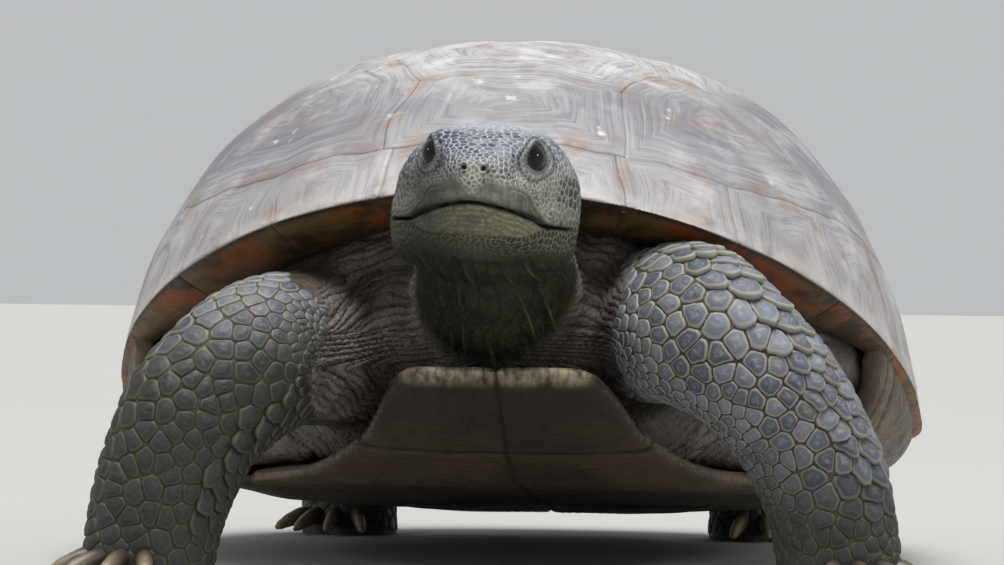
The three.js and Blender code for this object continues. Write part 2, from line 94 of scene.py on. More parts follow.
def waves(points, size, seed, octaves=5):
    """Smooth, seeded noise from -1 to 1 made of crossing waves of about the given size."""
    rng = np.random.default_rng(seed)
    total = np.zeros(points.shape[:-1])
    for _ in range(octaves):
        direction = unit(rng.normal(size=3))
        length = size * rng.uniform(0.7, 1.6)
        bend = np.sin(points @ unit(rng.normal(size=3)) / length * 1.7 + rng.uniform(0, 6.3))
        total += np.sin(points @ direction / length * 3.1 + 1.3 * bend + rng.uniform(0, 6.3))
    return total / octaves ** 0.5 / 1.2


def catmull(values, u):
    """Catmull-Rom curve through rows of values, at shares u of its length."""
    values = np.asarray(values, float)
    last = len(values) - 1
    x = np.clip(np.asarray(u, float), 0, 1) * last
    i = np.minimum(x.astype(int), last - 1)
    t = (x - i)[..., None]
    ends = np.concatenate([[2 * values[0] - values[1]], values, [2 * values[-1] - values[-2]]])
    a, b, c, d = ends[i], ends[i + 1], ends[i + 2], ends[i + 3]
    return 0.5 * (2 * b + (c - a) * t + (2 * a - 5 * b + 4 * c - d) * t**2 + (3 * b - a - 3 * c + d) * t**3)


# ---------------------------------------------------------------- the layout

SHELL_LENGTH = 280
SHELL_WIDTH = 207
SHELL_TOP = 117.3
RIM_FRONT, RIM_SIDE, RIM_REAR = 67, 20.5, 26
OUTLINE_POWER = 2.35
SHELL_LIFT = 15
SHELL_PITCH = math.radians(4.5)
SKEW_ANGLE = math.radians(2.6)
SKEW_ACROSS = 4.7

MARGINAL_ENDS = [3.2, 16.5, 32, 49, 64.5, 78, 90, 102, 115.5, 131, 149, 167]
VERTEBRAL_SEAMS = [(-100, 24.5), (-43, 26), (19, 25), (77, 20)]
COSTAL_SEAMS = [(-72, 33, 62), (-12, 35, 86), (48, 32, 110)]
FIRST_VERTEBRAL_ANGLE, LAST_VERTEBRAL_ANGLE = 18, 160

PLASTRON_WALL = 5
PLASTRON_EDGE = [(-150, 20), (-141, 25), (-120, 33), (-96, 52), (-62, 68), (0, 72), (60, 66),
                 (86, 45), (106, 38), (121, 23)]
PLASTRON_SEAMS = [-116, -66, -44, 42, 86]
GULAR_RISE = 21.5
BRIDGE_END = 58

HEAD_ORIGIN = np.array([5.9, -158, 91])
HEAD_TURN = math.radians(-1.6)
HEAD_ROLL = math.radians(3)
EYE_RADIUS = 4.7
EYE_PLACE = np.array([8.9, 32.6, 7.4])


def turned(points, roll, turn):
    """Rolls about the long axis, then turns about the upright one."""
    x, y, z = np.moveaxis(np.asarray(points, float), -1, 0)
    x, z = x * math.cos(roll) + z * math.sin(roll), -x * math.sin(roll) + z * math.cos(roll)
    x, y = x * math.cos(turn) - y * math.sin(turn), x * math.sin(turn) + y * math.cos(turn)
    return np.stack([x, y, z], -1)


def head_to_layout(points):
    """Head places are [towards the animal's left, forward, up] from the back of the skull."""
    flipped = np.asarray(points, float) * [1, -1, 1]
    return turned(flipped, HEAD_ROLL, HEAD_TURN) + HEAD_ORIGIN


def layout_to_head(points):
    x, y, z = np.moveaxis(np.asarray(points, float) - HEAD_ORIGIN, -1, 0)
    c, s = math.cos(HEAD_TURN), math.sin(HEAD_TURN)
    x, y = x * c + y * s, -x * s + y * c
    c, s = math.cos(HEAD_ROLL), math.sin(HEAD_ROLL)
    x, z = x * c - z * s, x * s + z * c
    return np.stack([x, -y, z], -1)


def eye_centre(side):
    return head_to_layout(EYE_PLACE * [side, 1, 1])


def box_centre(node):
    low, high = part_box(node)
    return np.array((low + high) / 2) * 1000


# The two eyes' boxes give the layout's place in the row frame.
SHIFT = (box_centre("eye_left") + box_centre("eye_right") - eye_centre(1) - eye_centre(-1)) / 2


def to_row(points):
    return (np.asarray(points, float) + SHIFT) / 1000


def to_layout(points):
    return np.asarray(points, float) * 1000 - SHIFT


# ---------------------------------------------------------------- mesh helpers

def make_object(name, points, faces, material=None):
    """A mesh object from layout places. faces is a list of corner tuples or arrays of them."""
    mesh = bpy.data.meshes.new(name)
    mesh.from_pydata(to_row(points).tolist(), [], [tuple(f) for f in faces])
    mesh.update()
    mesh.polygons.foreach_set("use_smooth", np.ones(len(mesh.polygons), bool))
    piece = bpy.data.objects.new(name, mesh)
    bpy.context.scene.collection.objects.link(piece)
    if material:
        mesh.materials.append(material)
    return piece


def set_attribute(piece, name, values):
    attribute = piece.data.attributes.new(name, "FLOAT", "POINT")
    attribute.data.foreach_set("value", np.asarray(values, np.float32))


def places_of(piece):
    flat = np.zeros(len(piece.data.vertices) * 3, np.float32)
    piece.data.vertices.foreach_get("co", flat)
    return to_layout(flat.reshape(-1, 3))


def set_places(piece, points):
    piece.data.vertices.foreach_set("co", to_row(points).astype(np.float32).ravel())
    piece.data.update()


def normals_of(piece):
    flat = np.zeros(len(piece.data.vertices) * 3, np.float32)
    piece.data.vertices.foreach_get("normal", flat)
    return unit(flat.reshape(-1, 3).astype(float))


def apply_modifier(piece, kind, **settings):
    modifier = piece.modifiers.new(kind.lower(), kind)
    for key, value in settings.items():
        setattr(modifier, key, value)
    with bpy.context.temp_override(object=piece, active_object=piece, selected_objects=[piece]):
        bpy.ops.object.modifier_apply(modifier=modifier.name)


def grid_faces(rows, columns, closed):
    """Quads of a rows by columns grid, closed round its columns or open."""
    r, c = np.meshgrid(np.arange(rows - 1), np.arange(columns if closed else columns - 1), indexing="ij")
    nxt = (c + 1) % columns
    quads = np.stack([r * columns + c, r * columns + nxt, (r + 1) * columns + nxt, (r + 1) * columns + c], -1)
    return quads.reshape(-1, 4)


# ---------------------------------------------------------------- the shell's form

def stand(points):
    """Turns places on the level shell into the standing pose."""
    x, y, z = np.moveaxis(np.asarray(points, float), -1, 0)
    c, s = math.cos(SHELL_PITCH), math.sin(SHELL_PITCH)
    return np.stack([x, y * c + z * s, SHELL_LIFT - y * s + z * c], -1)


def unstand(points):
    x, y, z = np.moveaxis(np.asarray(points, float), -1, 0)
    c, s = math.cos(SHELL_PITCH), math.sin(SHELL_PITCH)
    z = z - SHELL_LIFT
    return np.stack([x, y * c - z * s, y * s + z * c], -1)


def towards(side, front, rear, front_share, rear_share):
    return side + (front - side) * front_share + (rear - side) * rear_share


def rim_height(angle):
    c = np.cos(angle)
    return towards(RIM_SIDE, RIM_FRONT, RIM_REAR, np.maximum(c, 0) ** 1.25, smooth(0.2, 1, -c))


def rim_outline(angle):
    c, s = np.cos(angle), np.sin(angle)
    reach = (np.abs(c) ** OUTLINE_POWER + np.abs(s) ** OUTLINE_POWER) ** (-1 / OUTLINE_POWER)
    taper = 1 - 0.035 * smooth(0, 1, c)
    return SHELL_WIDTH / 2 * s * reach * taper, -SHELL_LENGTH / 2 * c * reach


def profile(angle, r):
    c = np.cos(angle)
    power = 2 / towards(2.364, 2.274, 2.722, smooth(0, 1, c), smooth(0, 1, -c))
    end = np.radians(towards(77, 66, 82, smooth(0.2, 1, c), smooth(0.2, 1, -c)))
    low = np.cos(end) ** power
    spread = (np.sin(r * end) / np.sin(end)) ** power
    height = (np.cos(r * end) ** power - low) / (1 - low)
    return spread, height


def level_dome(angle, r):
    spread, height = profile(angle, r)
    x, y = rim_outline(angle)
    rim = rim_height(angle)
    return np.stack([x * spread, y * spread, lerp(rim, SHELL_TOP, height)], -1)


UNDERSIDE_SCALE = 0.1


def level_shell(angle, w):
    """The dome for w up to 1, then round the rim and in along the marginals' underside."""
    outer = level_dome(angle, np.minimum(w, 1))
    s = np.clip((w - 1) / UNDERSIDE_SCALE, 0, 1)[..., None]
    c = np.cos(angle)
    rim = level_dome(angle, np.ones_like(angle))
    share = lerp(0.945, 0.86, smooth(0.42, 0.75, np.abs(c)))
    drop = lerp(3, 6, smooth(0.42, 0.75, c))
    inner = np.stack([rim[..., 0] * share, rim[..., 1] * share, rim[..., 2] - drop], -1)
    slope = unit(rim - level_dome(angle, np.full_like(angle, 0.97))) * 3.5
    inward = unit(np.stack([-rim[..., 0], -rim[..., 1], np.zeros_like(angle)], -1)) * 12
    under = (
        rim * (2 * s**3 - 3 * s**2 + 1)
        + slope * (s**3 - 2 * s**2 + s)
        + inner * (3 * s**2 - 2 * s**3)
        + inward * (s**3 - s**2)
    )
    return np.where((w <= 1)[..., None], outer, under)


def warped(angle, w):
    """A little natural waviness in every seam; the rim itself stays put."""
    keep = smooth(0, 0.3, w) * (1 - smooth(0.93, 1, w))
    angle = angle + keep * (0.009 * np.sin(9 * angle + 17 * w) + 0.005 * np.sin(31 * w + 23 * angle))
    w = w + keep * (0.004 * np.sin(21 * angle + 1) + 0.002 * np.sin(53 * angle))
    return angle, w


def shell_places(disc):
    """Disc places are w from the top of the dome in the direction of the rim angle."""
    w = np.hypot(disc[..., 0], disc[..., 1])
    angle = np.arctan2(disc[..., 0], -disc[..., 1])
    return stand(level_shell(*warped(angle, np.maximum(w, 1e-4))))


def shell_normals(disc):
    step = 2e-4
    across = shell_places(disc + [step, 0]) - shell_places(disc - [step, 0])
    along = shell_places(disc + [0, step]) - shell_places(disc - [0, step])
    return unit(np.cross(across, along))


def disc_point(angle, w):
    return np.stack([w * np.sin(angle), -w * np.cos(angle)], -1)


def seam_row(angle):
    return 0.8 + 0.06 * smooth(0.5, 0.85, np.cos(angle))


def skewed(angle):
    return angle + SKEW_ANGLE * smooth(-0.2, 0.8, np.cos(angle))


def skew_across(y):
    return SKEW_ACROSS * smooth(-80, 40, -np.asarray(y, float))


def plan_to_disc(x, y):
    """The disc place under a place of the plan, found by halving."""
    x = np.asarray(x, float) + skew_across(y)
    y = np.asarray(y, float)
    angle = np.arctan2(x / SHELL_WIDTH, -y / SHELL_LENGTH)
    for _ in range(4):
        taper = 1 - 0.035 * smooth(0, 1, np.cos(angle))
        angle = np.arctan2(x / (SHELL_WIDTH * taper), -y / SHELL_LENGTH)
    wanted = np.hypot(x, y) / np.hypot(*rim_outline(angle))
    low, high = np.zeros_like(x), np.ones_like(x)
    for _ in range(26):
        r = (low + high) / 2
        below = profile(angle, r)[0] < wanted
        low, high = np.where(below, r, low), np.where(below, high, r)
    return disc_point(angle, (low + high) / 2)


# ---------------------------------------------------------------- scutes

def plan_seam(start, end, count=24):
    t = np.linspace(0, 1, count)
    return plan_to_disc(lerp(start[0], end[0], t), lerp(start[1], end[1], t))


def ring_seam(start, end, count=40):
    """Along the seam above the marginals, between two rim angles in degrees."""
    angle = skewed(np.radians(np.linspace(start, end, count)))
    return disc_point(angle, seam_row(angle))


def to_ring(start, degrees, count=30):
    """From a plan corner straight to the ring seam."""
    angle = skewed(np.radians(np.array([degrees])))
    end = level_dome(angle, seam_row(angle))[0]
    t = np.linspace(0, 1, count)
    y = lerp(start[1], end[1], t)
    x = lerp(start[0] + skew_across(start[1]), end[0], t)
    return plan_to_disc(x - skew_across(y), y)


def scute_outlines():
    """Each scute's closed outline in disc places."""
    outlines = {}
    corners = {-1: [], 1: []}
    for side in (-1, 1):
        for i, (y, half) in enumerate(VERTEBRAL_SEAMS):
            corners[side].append((side * half, y))
            if i < len(COSTAL_SEAMS):
                corners[side].append((side * COSTAL_SEAMS[i][1], COSTAL_SEAMS[i][0]))
    left, right = corners[1], corners[-1]
    first, last = FIRST_VERTEBRAL_ANGLE, LAST_VERTEBRAL_ANGLE
    outlines["vertebral_1"] = [
        ring_seam(-first, first), to_ring(left[0], first)[::-1], plan_seam(left[0], right[0]),
        to_ring(right[0], -first),
    ]
    for i in range(3):
        a, b, c = 2 * i, 2 * i + 1, 2 * i + 2
        outlines[f"vertebral_{i + 2}"] = [
            plan_seam(right[a], left[a]), plan_seam(left[a], left[b]), plan_seam(left[b], left[c]),
            plan_seam(left[c], right[c]), plan_seam(right[c], right[b]), plan_seam(right[b], right[a]),
        ]
    outlines["vertebral_5"] = [
        plan_seam(right[6], left[6]), to_ring(left[6], last), ring_seam(last, 360 - last, 60),
        to_ring(right[6], -last)[::-1],
    ]
    for name, side in (("left", 1), ("right", -1)):
        at = corners[side]
        rim = [side * c[2] for c in COSTAL_SEAMS]
        outlines[f"costal_{name}_1"] = [
            to_ring(at[0], side * first)[::-1], plan_seam(at[0], at[1]), to_ring(at[1], rim[0]),
            ring_seam(rim[0], side * first),
        ]
        for i in (1, 2):
            a, b, c = 2 * i - 1, 2 * i, 2 * i + 1
            outlines[f"costal_{name}_{i + 1}"] = [
                to_ring(at[a], rim[i - 1])[::-1], plan_seam(at[a], at[b]), plan_seam(at[b], at[c]),
                to_ring(at[c], rim[i]), ring_seam(rim[i], rim[i - 1]),
            ]
        outlines[f"costal_{name}_4"] = [
            to_ring(at[5], rim[2])[::-1], plan_seam(at[5], at[6]), to_ring(at[6], side * last),
            ring_seam(side * last, rim[2]),
        ]
    for name, start, end in marginal_spans():
        outlines[name] = marginal_outline(start, end)
    return outlines


def marginal_spans():
    spans = [("nuchal", -MARGINAL_ENDS[0], MARGINAL_ENDS[0])]
    spans.append(("supracaudal", MARGINAL_ENDS[-1], 360 - MARGINAL_ENDS[-1]))
    for i in range(len(MARGINAL_ENDS) - 1):
        spans.append((f"marginal_left_{i + 1}", MARGINAL_ENDS[i], MARGINAL_ENDS[i + 1]))
        spans.append((f"marginal_right_{i + 1}", -MARGINAL_ENDS[i], -MARGINAL_ENDS[i + 1]))
    return spans


def marginal_outline(start, end):
    degrees = np.radians(np.linspace(start, end, 40))
    angle = skewed(degrees)
    under = np.full_like(angle, 1 + UNDERSIDE_SCALE)
    w_start = np.linspace(seam_row(angle[:1])[0], 1 + UNDERSIDE_SCALE, 60)
    w_end = np.linspace(seam_row(angle[-1:])[0], 1 + UNDERSIDE_SCALE, 60)
    return [
        disc_point(angle, seam_row(angle)),
        disc_point(np.full_like(w_end, angle[-1]), w_end),
        disc_point(angle[::-1], under),
        disc_point(np.full_like(w_start, angle[0]), w_start[::-1]),
    ]


def closed_outline(parts, count):
    """Joins the outline's parts and spaces its points evenly along the real surface."""
    line = np.concatenate([p[:-1] for p in parts])
    line = np.concatenate([line, line[:1]])
    steps = np.linalg.norm(np.diff(shell_places(line), axis=0), axis=1)
    run = np.concatenate([[0], np.cumsum(steps)])
    at = np.linspace(0, run[-1], count, endpoint=False)
    return np.stack([np.interp(at, run, line[:, k]) for k in (0, 1)], -1), run[-1]


def ring_phase(t, areola, count, rng):
    """Counts growth rings out from the areola; whole numbers are the grooves between rings."""
    widths = rng.uniform(0.4, 1.8, count) * np.linspace(1.2, 0.75, count)
    ends = areola + (1 - areola) * np.concatenate([[0], np.cumsum(widths)]) / widths.sum()
    return np.interp(t, ends, np.arange(count + 1)) - 0.999 * (t < areola) * (1 - t / areola)


# name: spacing of the mesh, how far it swells, ring count, areola share of its size
SCUTE_KINDS = {
    "vertebral": (0.84, 0.35, 15, 0.2),
    "costal": (0.88, 0.4, 17, 0.2),
    "marginal": (0.78, 0.2, 11, 0.12),
    "nuchal": (0.78, 0.2, 6, 0.2),
    "supracaudal": (0.8, 0.3, 11, 0.16),
}


def areola_place(name, outline):
    """The oldest part of the scute, which growth leaves off its middle."""
    kind = name.split("_")[0]
    middle = outline.mean(0)
    if kind in ("marginal", "nuchal", "supracaudal"):
        angle = np.unwrap(np.arctan2(outline[:, 0], -outline[:, 1]))
        low, high = angle.min(), angle.max()
        share = 0.62 if abs(high) > abs(low) else 0.38
        share = 0.5 if kind != "marginal" else share
        return disc_point(np.array(lerp(low, high, share)), np.array(0.955))
    if kind == "costal":
        return middle * 0.93
    return middle


def scute(name, parts, seed):
    """One horn plate: rings of mesh that shrink from its outline to its areola."""
    spacing, swell, ring_count, areola = SCUTE_KINDS[name.split("_")[0]]
    _, length = closed_outline(parts, 64)
    count = int(length / (spacing * 1.25))
    outline, _ = closed_outline(parts, count)
    middle = areola_place(name, outline)
    rng = np.random.default_rng(seed)

    corner = shell_places(outline)
    centre = shell_places(middle[None])[0]
    tangent = unit(np.roll(corner, -1, 0) - np.roll(corner, 1, 0))
    out = corner - centre
    clear = np.linalg.norm(np.cross(out, tangent), axis=1)
    reach = np.percentile(clear, 60)
    steps = max(int(reach / spacing), 8)
    t = np.linspace(1 / steps, 1, steps)
    t = np.concatenate([t[:-3], 1 - np.array([2.2, 1.5, 1.05, 0.7, 0.45, 0.24, 0.1, 0]) / reach])
    t = np.unique(t)[::-1]

    disc = middle + (outline - middle)[None] * t[:, None, None]
    base = shell_places(disc)
    normal = shell_normals(disc)
    from_seam = (1 - t)[:, None] * clear[None]
    phase = ring_phase(t, areola, ring_count, rng)[:, None] + 0 * from_seam
    phase = phase + 0.16 * waves(base, 9, seed + 5) * smooth(0, 3, from_seam)
    part = phase - np.floor(phase)
    worn = 0.5 + 0.5 * waves(base, 26, 3)
    ridge = np.sin(np.pi * part) ** 0.7 * (phase > 0)
    worn = worn * (0.5 + 0.5 * waves(base, 11, seed + 3))
    rings = (0.05 + 0.2 * worn) * (ridge - 0.7) * smooth(0.06, 0.35, t)[:, None]
    young = (phase < 0) * 0.12 * waves(base, 1.6, seed + 9)
    w = np.hypot(disc[..., 0], disc[..., 1])
    groove = 0.15 * np.exp(-((from_seam / 0.3) ** 1.6)) + 0.09 * np.exp(-from_seam / 1.8)
    lift = swell * (1 - t**2)[:, None] - 0.2 - groove + rings + young + 0.25 * waves(base, 15, 8)
    top = base + normal * lift[..., None]
    skirt = top[0] - normal[0] * 2.2
    points = np.concatenate([skirt[None], top]).reshape(-1, 3)
    tip = centre + shell_normals(middle[None])[0] * (swell + 0.02)
    under = centre - shell_normals(middle[None])[0] * 3.0
    rows = len(t) + 1
    points = np.concatenate([points, [tip], [under]])
    faces = grid_faces(rows, count, True).tolist()
    inner, nxt = (rows - 1) * count, np.arange(count)
    follow = (nxt + 1) % count
    faces += np.stack([inner + nxt, inner + follow, np.full(count, len(points) - 2)], -1).tolist()
    faces += np.stack([follow, nxt, np.full(count, len(points) - 1)], -1).tolist()

    def full(values):
        body = np.concatenate([values[:1], values]).ravel()
        return np.concatenate([body, [values[-1].mean(), values[0].mean()]])

    turn = 2 * np.pi * np.arange(count) / count
    around = length / (2 * np.pi)
    tone = rng.uniform(0, 1)
    return points, faces, {
        "turn_x": full(around * np.cos(turn) + 0 * from_seam),
        "turn_y": full(around * np.sin(turn) + 0 * from_seam),
        "phase": full(phase),
        "from_seam": full(from_seam),
        "share": full(t[:, None] + 0 * from_seam),
        "w": full(w),
        "tone": np.full(len(points), tone),
    }


def joined_pieces(pieces):
    points, faces, attributes, start = [], [], {}, 0
    for own_points, own_faces, own in pieces:
        points.append(own_points)
        faces += [[i + start for i in f] for f in own_faces]
        start += len(own_points)
        for key, values in own.items():
            attributes.setdefault(key, []).append(values)
    return np.concatenate(points), faces, {k: np.concatenate(v) for k, v in attributes.items()}


def outward(points, faces):
    """Faces turned so that the closed mesh's volume is positive."""
    corners = points[np.array([f[:3] for f in faces])]
    volume = np.einsum("ij,ij->i", corners[:, 0], np.cross(corners[:, 1], corners[:, 2])).sum()
    return faces if volume > 0 else [f[::-1] for f in faces]


def carapace(material):
    pieces = []
    for seed, (name, parts) in enumerate(sorted(scute_outlines().items())):
        points, faces, own = scute(name, parts, 100 + seed)
        pieces.append((points, outward(points - points.mean(0), faces), own))
    points, faces, attributes = joined_pieces(pieces)
    piece = make_object("carapace_horn", points, faces, material)
    for key, values in attributes.items():
        set_attribute(piece, key, values)
    names = [n for n in frame["nodes"] if n.split("_")[0] in SCUTE_KINDS]
    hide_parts(*names)
    return piece


# ---------------------------------------------------------------- the skin's form

def unit_ring(count):
    around = np.linspace(0, 2 * np.pi, count, endpoint=False)
    return np.cos(around), np.sin(around)


def capped(rows):
    """Points and faces of a tube through rows of rings, closed with a fan at each end."""
    count, columns = rows.shape[:2]
    points = np.concatenate([rows.reshape(-1, 3), rows[:1].mean(1), rows[-1:].mean(1)])
    faces = grid_faces(count, columns, True).tolist()
    i = np.arange(columns)
    follow = (i + 1) % columns
    last = (count - 1) * columns
    faces += np.stack([follow, i, np.full(columns, len(points) - 2)], -1).tolist()
    faces += np.stack([last + i, last + follow, np.full(columns, len(points) - 1)], -1).tolist()
    return points, outward(points - points.mean(0), faces)


def loft_frame(stations, across, u):
    """Centre, side, up and the three half sizes at shares u of a limb's length."""
    stations = np.asarray(stations, float)
    centre = catmull(stations[:, :3], u)
    tangent = unit(catmull(stations[:, :3], u + 1e-3) - catmull(stations[:, :3], u - 1e-3))
    side = unit(np.asarray(across, float) - tangent * (tangent @ across)[:, None])
    last = len(stations) - 1
    i = np.minimum((u * last).astype(int), last - 1)
    blend = smooth(0, 1, u * last - i)[:, None]
    return centre, side, np.cross(tangent, side), lerp(stations[i, 3:], stations[i + 1, 3:], blend)


def loft(stations, across, inset=0.0, around=64, rows_each=10):
    u = np.linspace(0, 1, (len(stations) - 1) * rows_each + 1)
    centre, side, up, sizes = loft_frame(stations, across, np.clip(u, 1e-3, 1 - 1e-3))
    sizes = sizes - inset
    c, s = unit_ring(around)
    height = np.where(s[None] > 0, sizes[:, 1:2], sizes[:, 2:3]) * s[None]
    width = sizes[:, :1] * c[None]
    return capped(centre[:, None] + side[:, None] * width[..., None] + up[:, None] * height[..., None])


FORE_LEGS = {
    1: {
        "across": [0.74, -0.1, 0.67],
        "stations": [(37, -84, 58, 20, 18, 18), (42, -108, 62, 21, 19, 19), (50, -129, 61, 20, 18, 17),
                     (65, -138, 50, 17.5, 15, 13), (77, -138, 33, 16.5, 12, 11),
                     (83, -136, 14, 15.5, 12.5, 12), (85, -134, -6, 15, 12, 12)],
        "foot": (84, -135),
        "heading": 48,
    },
    -1: {
        "across": [0.8, 0.16, -0.58],
        "stations": [(-35, -84, 52, 20, 18, 18), (-41, -108, 55, 20, 19, 19), (-51, -131, 53, 19.5, 18, 17),
                     (-64, -141, 41, 18.5, 15, 13), (-71, -143, 26, 17.5, 12.5, 11),
                     (-75, -142, 12, 16.5, 12.5, 12), (-77, -141, -6, 16, 12, 12)],
        "foot": (-77, -142),
        "heading": -44,
    },
}
HIND_STATIONS = [(36, 70, 33, 18, 17, 17), (46, 89, 31, 17.5, 16, 16), (55, 102, 26, 16, 15, 15),
                 (58, 106, 13, 14, 13.5, 13.5), (58, 105, -6, 15, 15, 15)]
HIND_FOOT = (58, 105)
TAIL_STATIONS = [(0, 100, 27, 11, 10, 9), (1, 118, 24, 9, 8, 8), (4, 133, 16, 6, 5.5, 5.5),
                 (8, 141, 9.5, 2.2, 2, 2)]
NECK_STATIONS = [(1, -84, 58, 36, 24, 22), (2, -108, 63, 29.5, 22, 21), (3, -126, 69, 20.8, 19, 20),
                 (4.5, -144, 78, 18.6, 16, 18), (5.6, -160, 88, 16.5, 13, 13.5), (5.6, -172, 91, 14, 10, 10)]
SCALE_DEPTH = 1.0

# Half sections of the head, back to front: how far forward, then [out, up] of the crown, the brow
# edge, the temple, the cheek, the jaw's edge and the chin or throat.
HEAD_SECTIONS = [
    (-6, 0, 8, 8, 6, 12, 1, 13, -4, 13, -13, 0, -17),
    (4, 0, 13.7, 9.8, 11.4, 18, 3.6, 19, -5, 19, -16, 0, -20.6),
    (12, 0, 15.4, 11.2, 13.2, 20.4, 4.2, 20.3, -6.6, 19.3, -15.8, 0, -19.8),
    (20, 0, 15.7, 12, 13.6, 20, 4.2, 19.6, -6, 17.2, -14.8, 0, -17.8),
    (28, 0, 15.3, 11.8, 13.0, 16.8, 4.4, 17.6, -4.2, 13.8, -12.8, 0, -15.4),
    (35, 0, 13.4, 10.2, 11.2, 12.7, 4.0, 14.6, -2.8, 10.9, -11.4, 0, -13.6),
    (41, 0, 10.9, 8.2, 8.6, 10.2, 3.2, 12, -2.2, 8.8, -9.8, 0, -11.6),
    (46, 0, 8.3, 6.0, 6.4, 7.8, 2.6, 9.2, -1.4, 6.5, -8.2, 0, -9.6),
    (49.4, 0, 6.3, 4.2, 5.0, 5.4, 2.0, 6.2, -0.9, 4.2, -6.2, 0, -7.2),
    (51.2, 0, 3.7, 1.9, 3.1, 2.6, 1.6, 3, 0, 2, -3.2, 0, -4),
]


def head_base(inset):
    """The skull, its jaw leaning a little to the animal's right of its face."""
    rows = np.asarray(HEAD_SECTIONS, float)
    u = np.linspace(0, 1, 70)
    at = catmull(rows, u)
    rings = []
    for row in at:
        half = row[1:].reshape(6, 2)
        mirror = half[1:-1][::-1] * [-1, 1]
        loop = np.concatenate([half, mirror])
        closed = np.concatenate([loop[-2:], loop, loop[:3]])
        t = (2 + np.arange(0, 10, 0.125)) / (len(closed) - 1)
        line = catmull(closed, t)
        shrink = 1 - inset / np.linalg.norm(line - line.mean(0), axis=1, keepdims=True)
        line = line.mean(0) + (line - line.mean(0)) * shrink
        lean = 0.08 * (line[:, 1] - 7) * smooth(44, 22, row[0])
        rings.append(np.stack([line[:, 0] + lean, np.full(len(line), row[0]), line[:, 1]], -1))
    points, faces = capped(np.array(rings))
    points = head_to_layout(points)
    return points, outward(points - points.mean(0), faces)


def trunk_base(reach_out):
    """The flesh inside the shell, reaching the marginals' inner edge at the openings."""
    angle = np.linspace(0, 2 * np.pi, 120, endpoint=False)
    share = lerp(0.945, 0.86, smooth(0.42, 0.75, np.abs(np.cos(angle))))
    rim = rim_height(angle) - lerp(3, 6, smooth(0.42, 0.75, np.cos(angle))) - 5
    x, y = rim_outline(angle)
    reach = share - (5 - reach_out) / np.hypot(x, y)
    rows = []
    for r in np.linspace(0.55, 1, 6):
        spread, height = profile(angle, r)
        top = SHELL_TOP - 10
        rows.append(np.stack([x * reach * spread, y * reach * spread, lerp(rim, top, height)], -1))
    floor = PLASTRON_WALL + 1
    for down in np.linspace(0, 1, 14)[1:]:
        draw = 1 - 0.16 * np.sin(down * np.pi * 0.5)
        z = lerp(rim, floor, down)
        rows.append(np.stack([x * reach * draw, y * reach * draw, z], -1))
    points, faces = capped(stand(np.array(rows)))
    return points, faces


def skin_parts():
    parts = [trunk_base(4.4), head_base(0.25), loft(NECK_STATIONS, [1, 0, 0], 0.4)]
    parts.append(loft(TAIL_STATIONS, [1, 0, 0], 0.4))
    for side, leg in FORE_LEGS.items():
        parts.append(loft(leg["stations"], leg["across"], SCALE_DEPTH))
        stations = np.array(HIND_STATIONS, float) * [side, 1, 1, 1, 1, 1]
        parts.append(loft(stations, [side, 0, 0], SCALE_DEPTH))
    return parts


def edges_of(piece):
    flat = np.zeros(len(piece.data.edges) * 2, np.int32)
    piece.data.edges.foreach_get("vertices", flat)
    return flat.reshape(-1, 2)


def relaxed(points, edges, rounds, weight=0.6, keep=None):
    """Each place moves towards the mean of its neighbours, less where keep is near 1."""
    count = len(points)
    degree = np.bincount(edges.ravel(), minlength=count)[:, None]
    share = weight if keep is None else (weight * (1 - keep))[:, None]
    for _ in range(rounds):
        total = np.empty_like(points)
        for k in range(3):
            near = np.bincount(edges[:, 0], points[edges[:, 1], k], count)
            total[:, k] = near + np.bincount(edges[:, 1], points[edges[:, 0], k], count)
        points = points + (total / np.maximum(degree, 1) - points) * share
    return points


def subdivide_where(piece, chosen, cuts=1):
    """Splits the faces whose corners are all chosen."""
    mesh = bmesh.new()
    mesh.from_mesh(piece.data)
    mesh.verts.ensure_lookup_table()
    edges = [e for e in mesh.edges if chosen[e.verts[0].index] and chosen[e.verts[1].index]]
    bmesh.ops.subdivide_edges(mesh, edges=edges, cuts=cuts, use_grid_fill=True)
    bmesh.ops.triangulate(mesh, faces=[f for f in mesh.faces if len(f.verts) > 4])
    mesh.to_mesh(piece.data)
    mesh.free()
    piece.data.update()


def cut_at_floor(piece):
    """Feet end in flat soles on the floor."""
    mesh = bmesh.new()
    mesh.from_mesh(piece.data)
    everything = mesh.verts[:] + mesh.edges[:] + mesh.faces[:]
    floor = to_row([0, 0, 0])[2]
    cut = bmesh.ops.bisect_plane(mesh, geom=everything, plane_co=(0, 0, floor), plane_no=(0, 0, 1),
                                 clear_inner=True)
    rim = [e for e in cut["geom_cut"] if isinstance(e, bmesh.types.BMEdge)]
    bmesh.ops.holes_fill(mesh, edges=rim)
    bmesh.ops.triangulate(mesh, faces=[f for f in mesh.faces if len(f.verts) > 4])
    mesh.to_mesh(piece.data)
    mesh.free()
    piece.data.update()


def skin_base():
    pieces = [(points, outward(points - points.mean(0), faces), {}) for points, faces in skin_parts()]
    points, faces, _ = joined_pieces(pieces)
    skin = make_object("skin", points, faces)
    apply_modifier(skin, "REMESH", mode="VOXEL", voxel_size=VOXEL / 1000)
    places = relaxed(places_of(skin), edges_of(skin), 14)
    set_places(skin, places)
    cut_at_floor(skin)
    return skin


# ---------------------------------------------------------------- the skin's detail

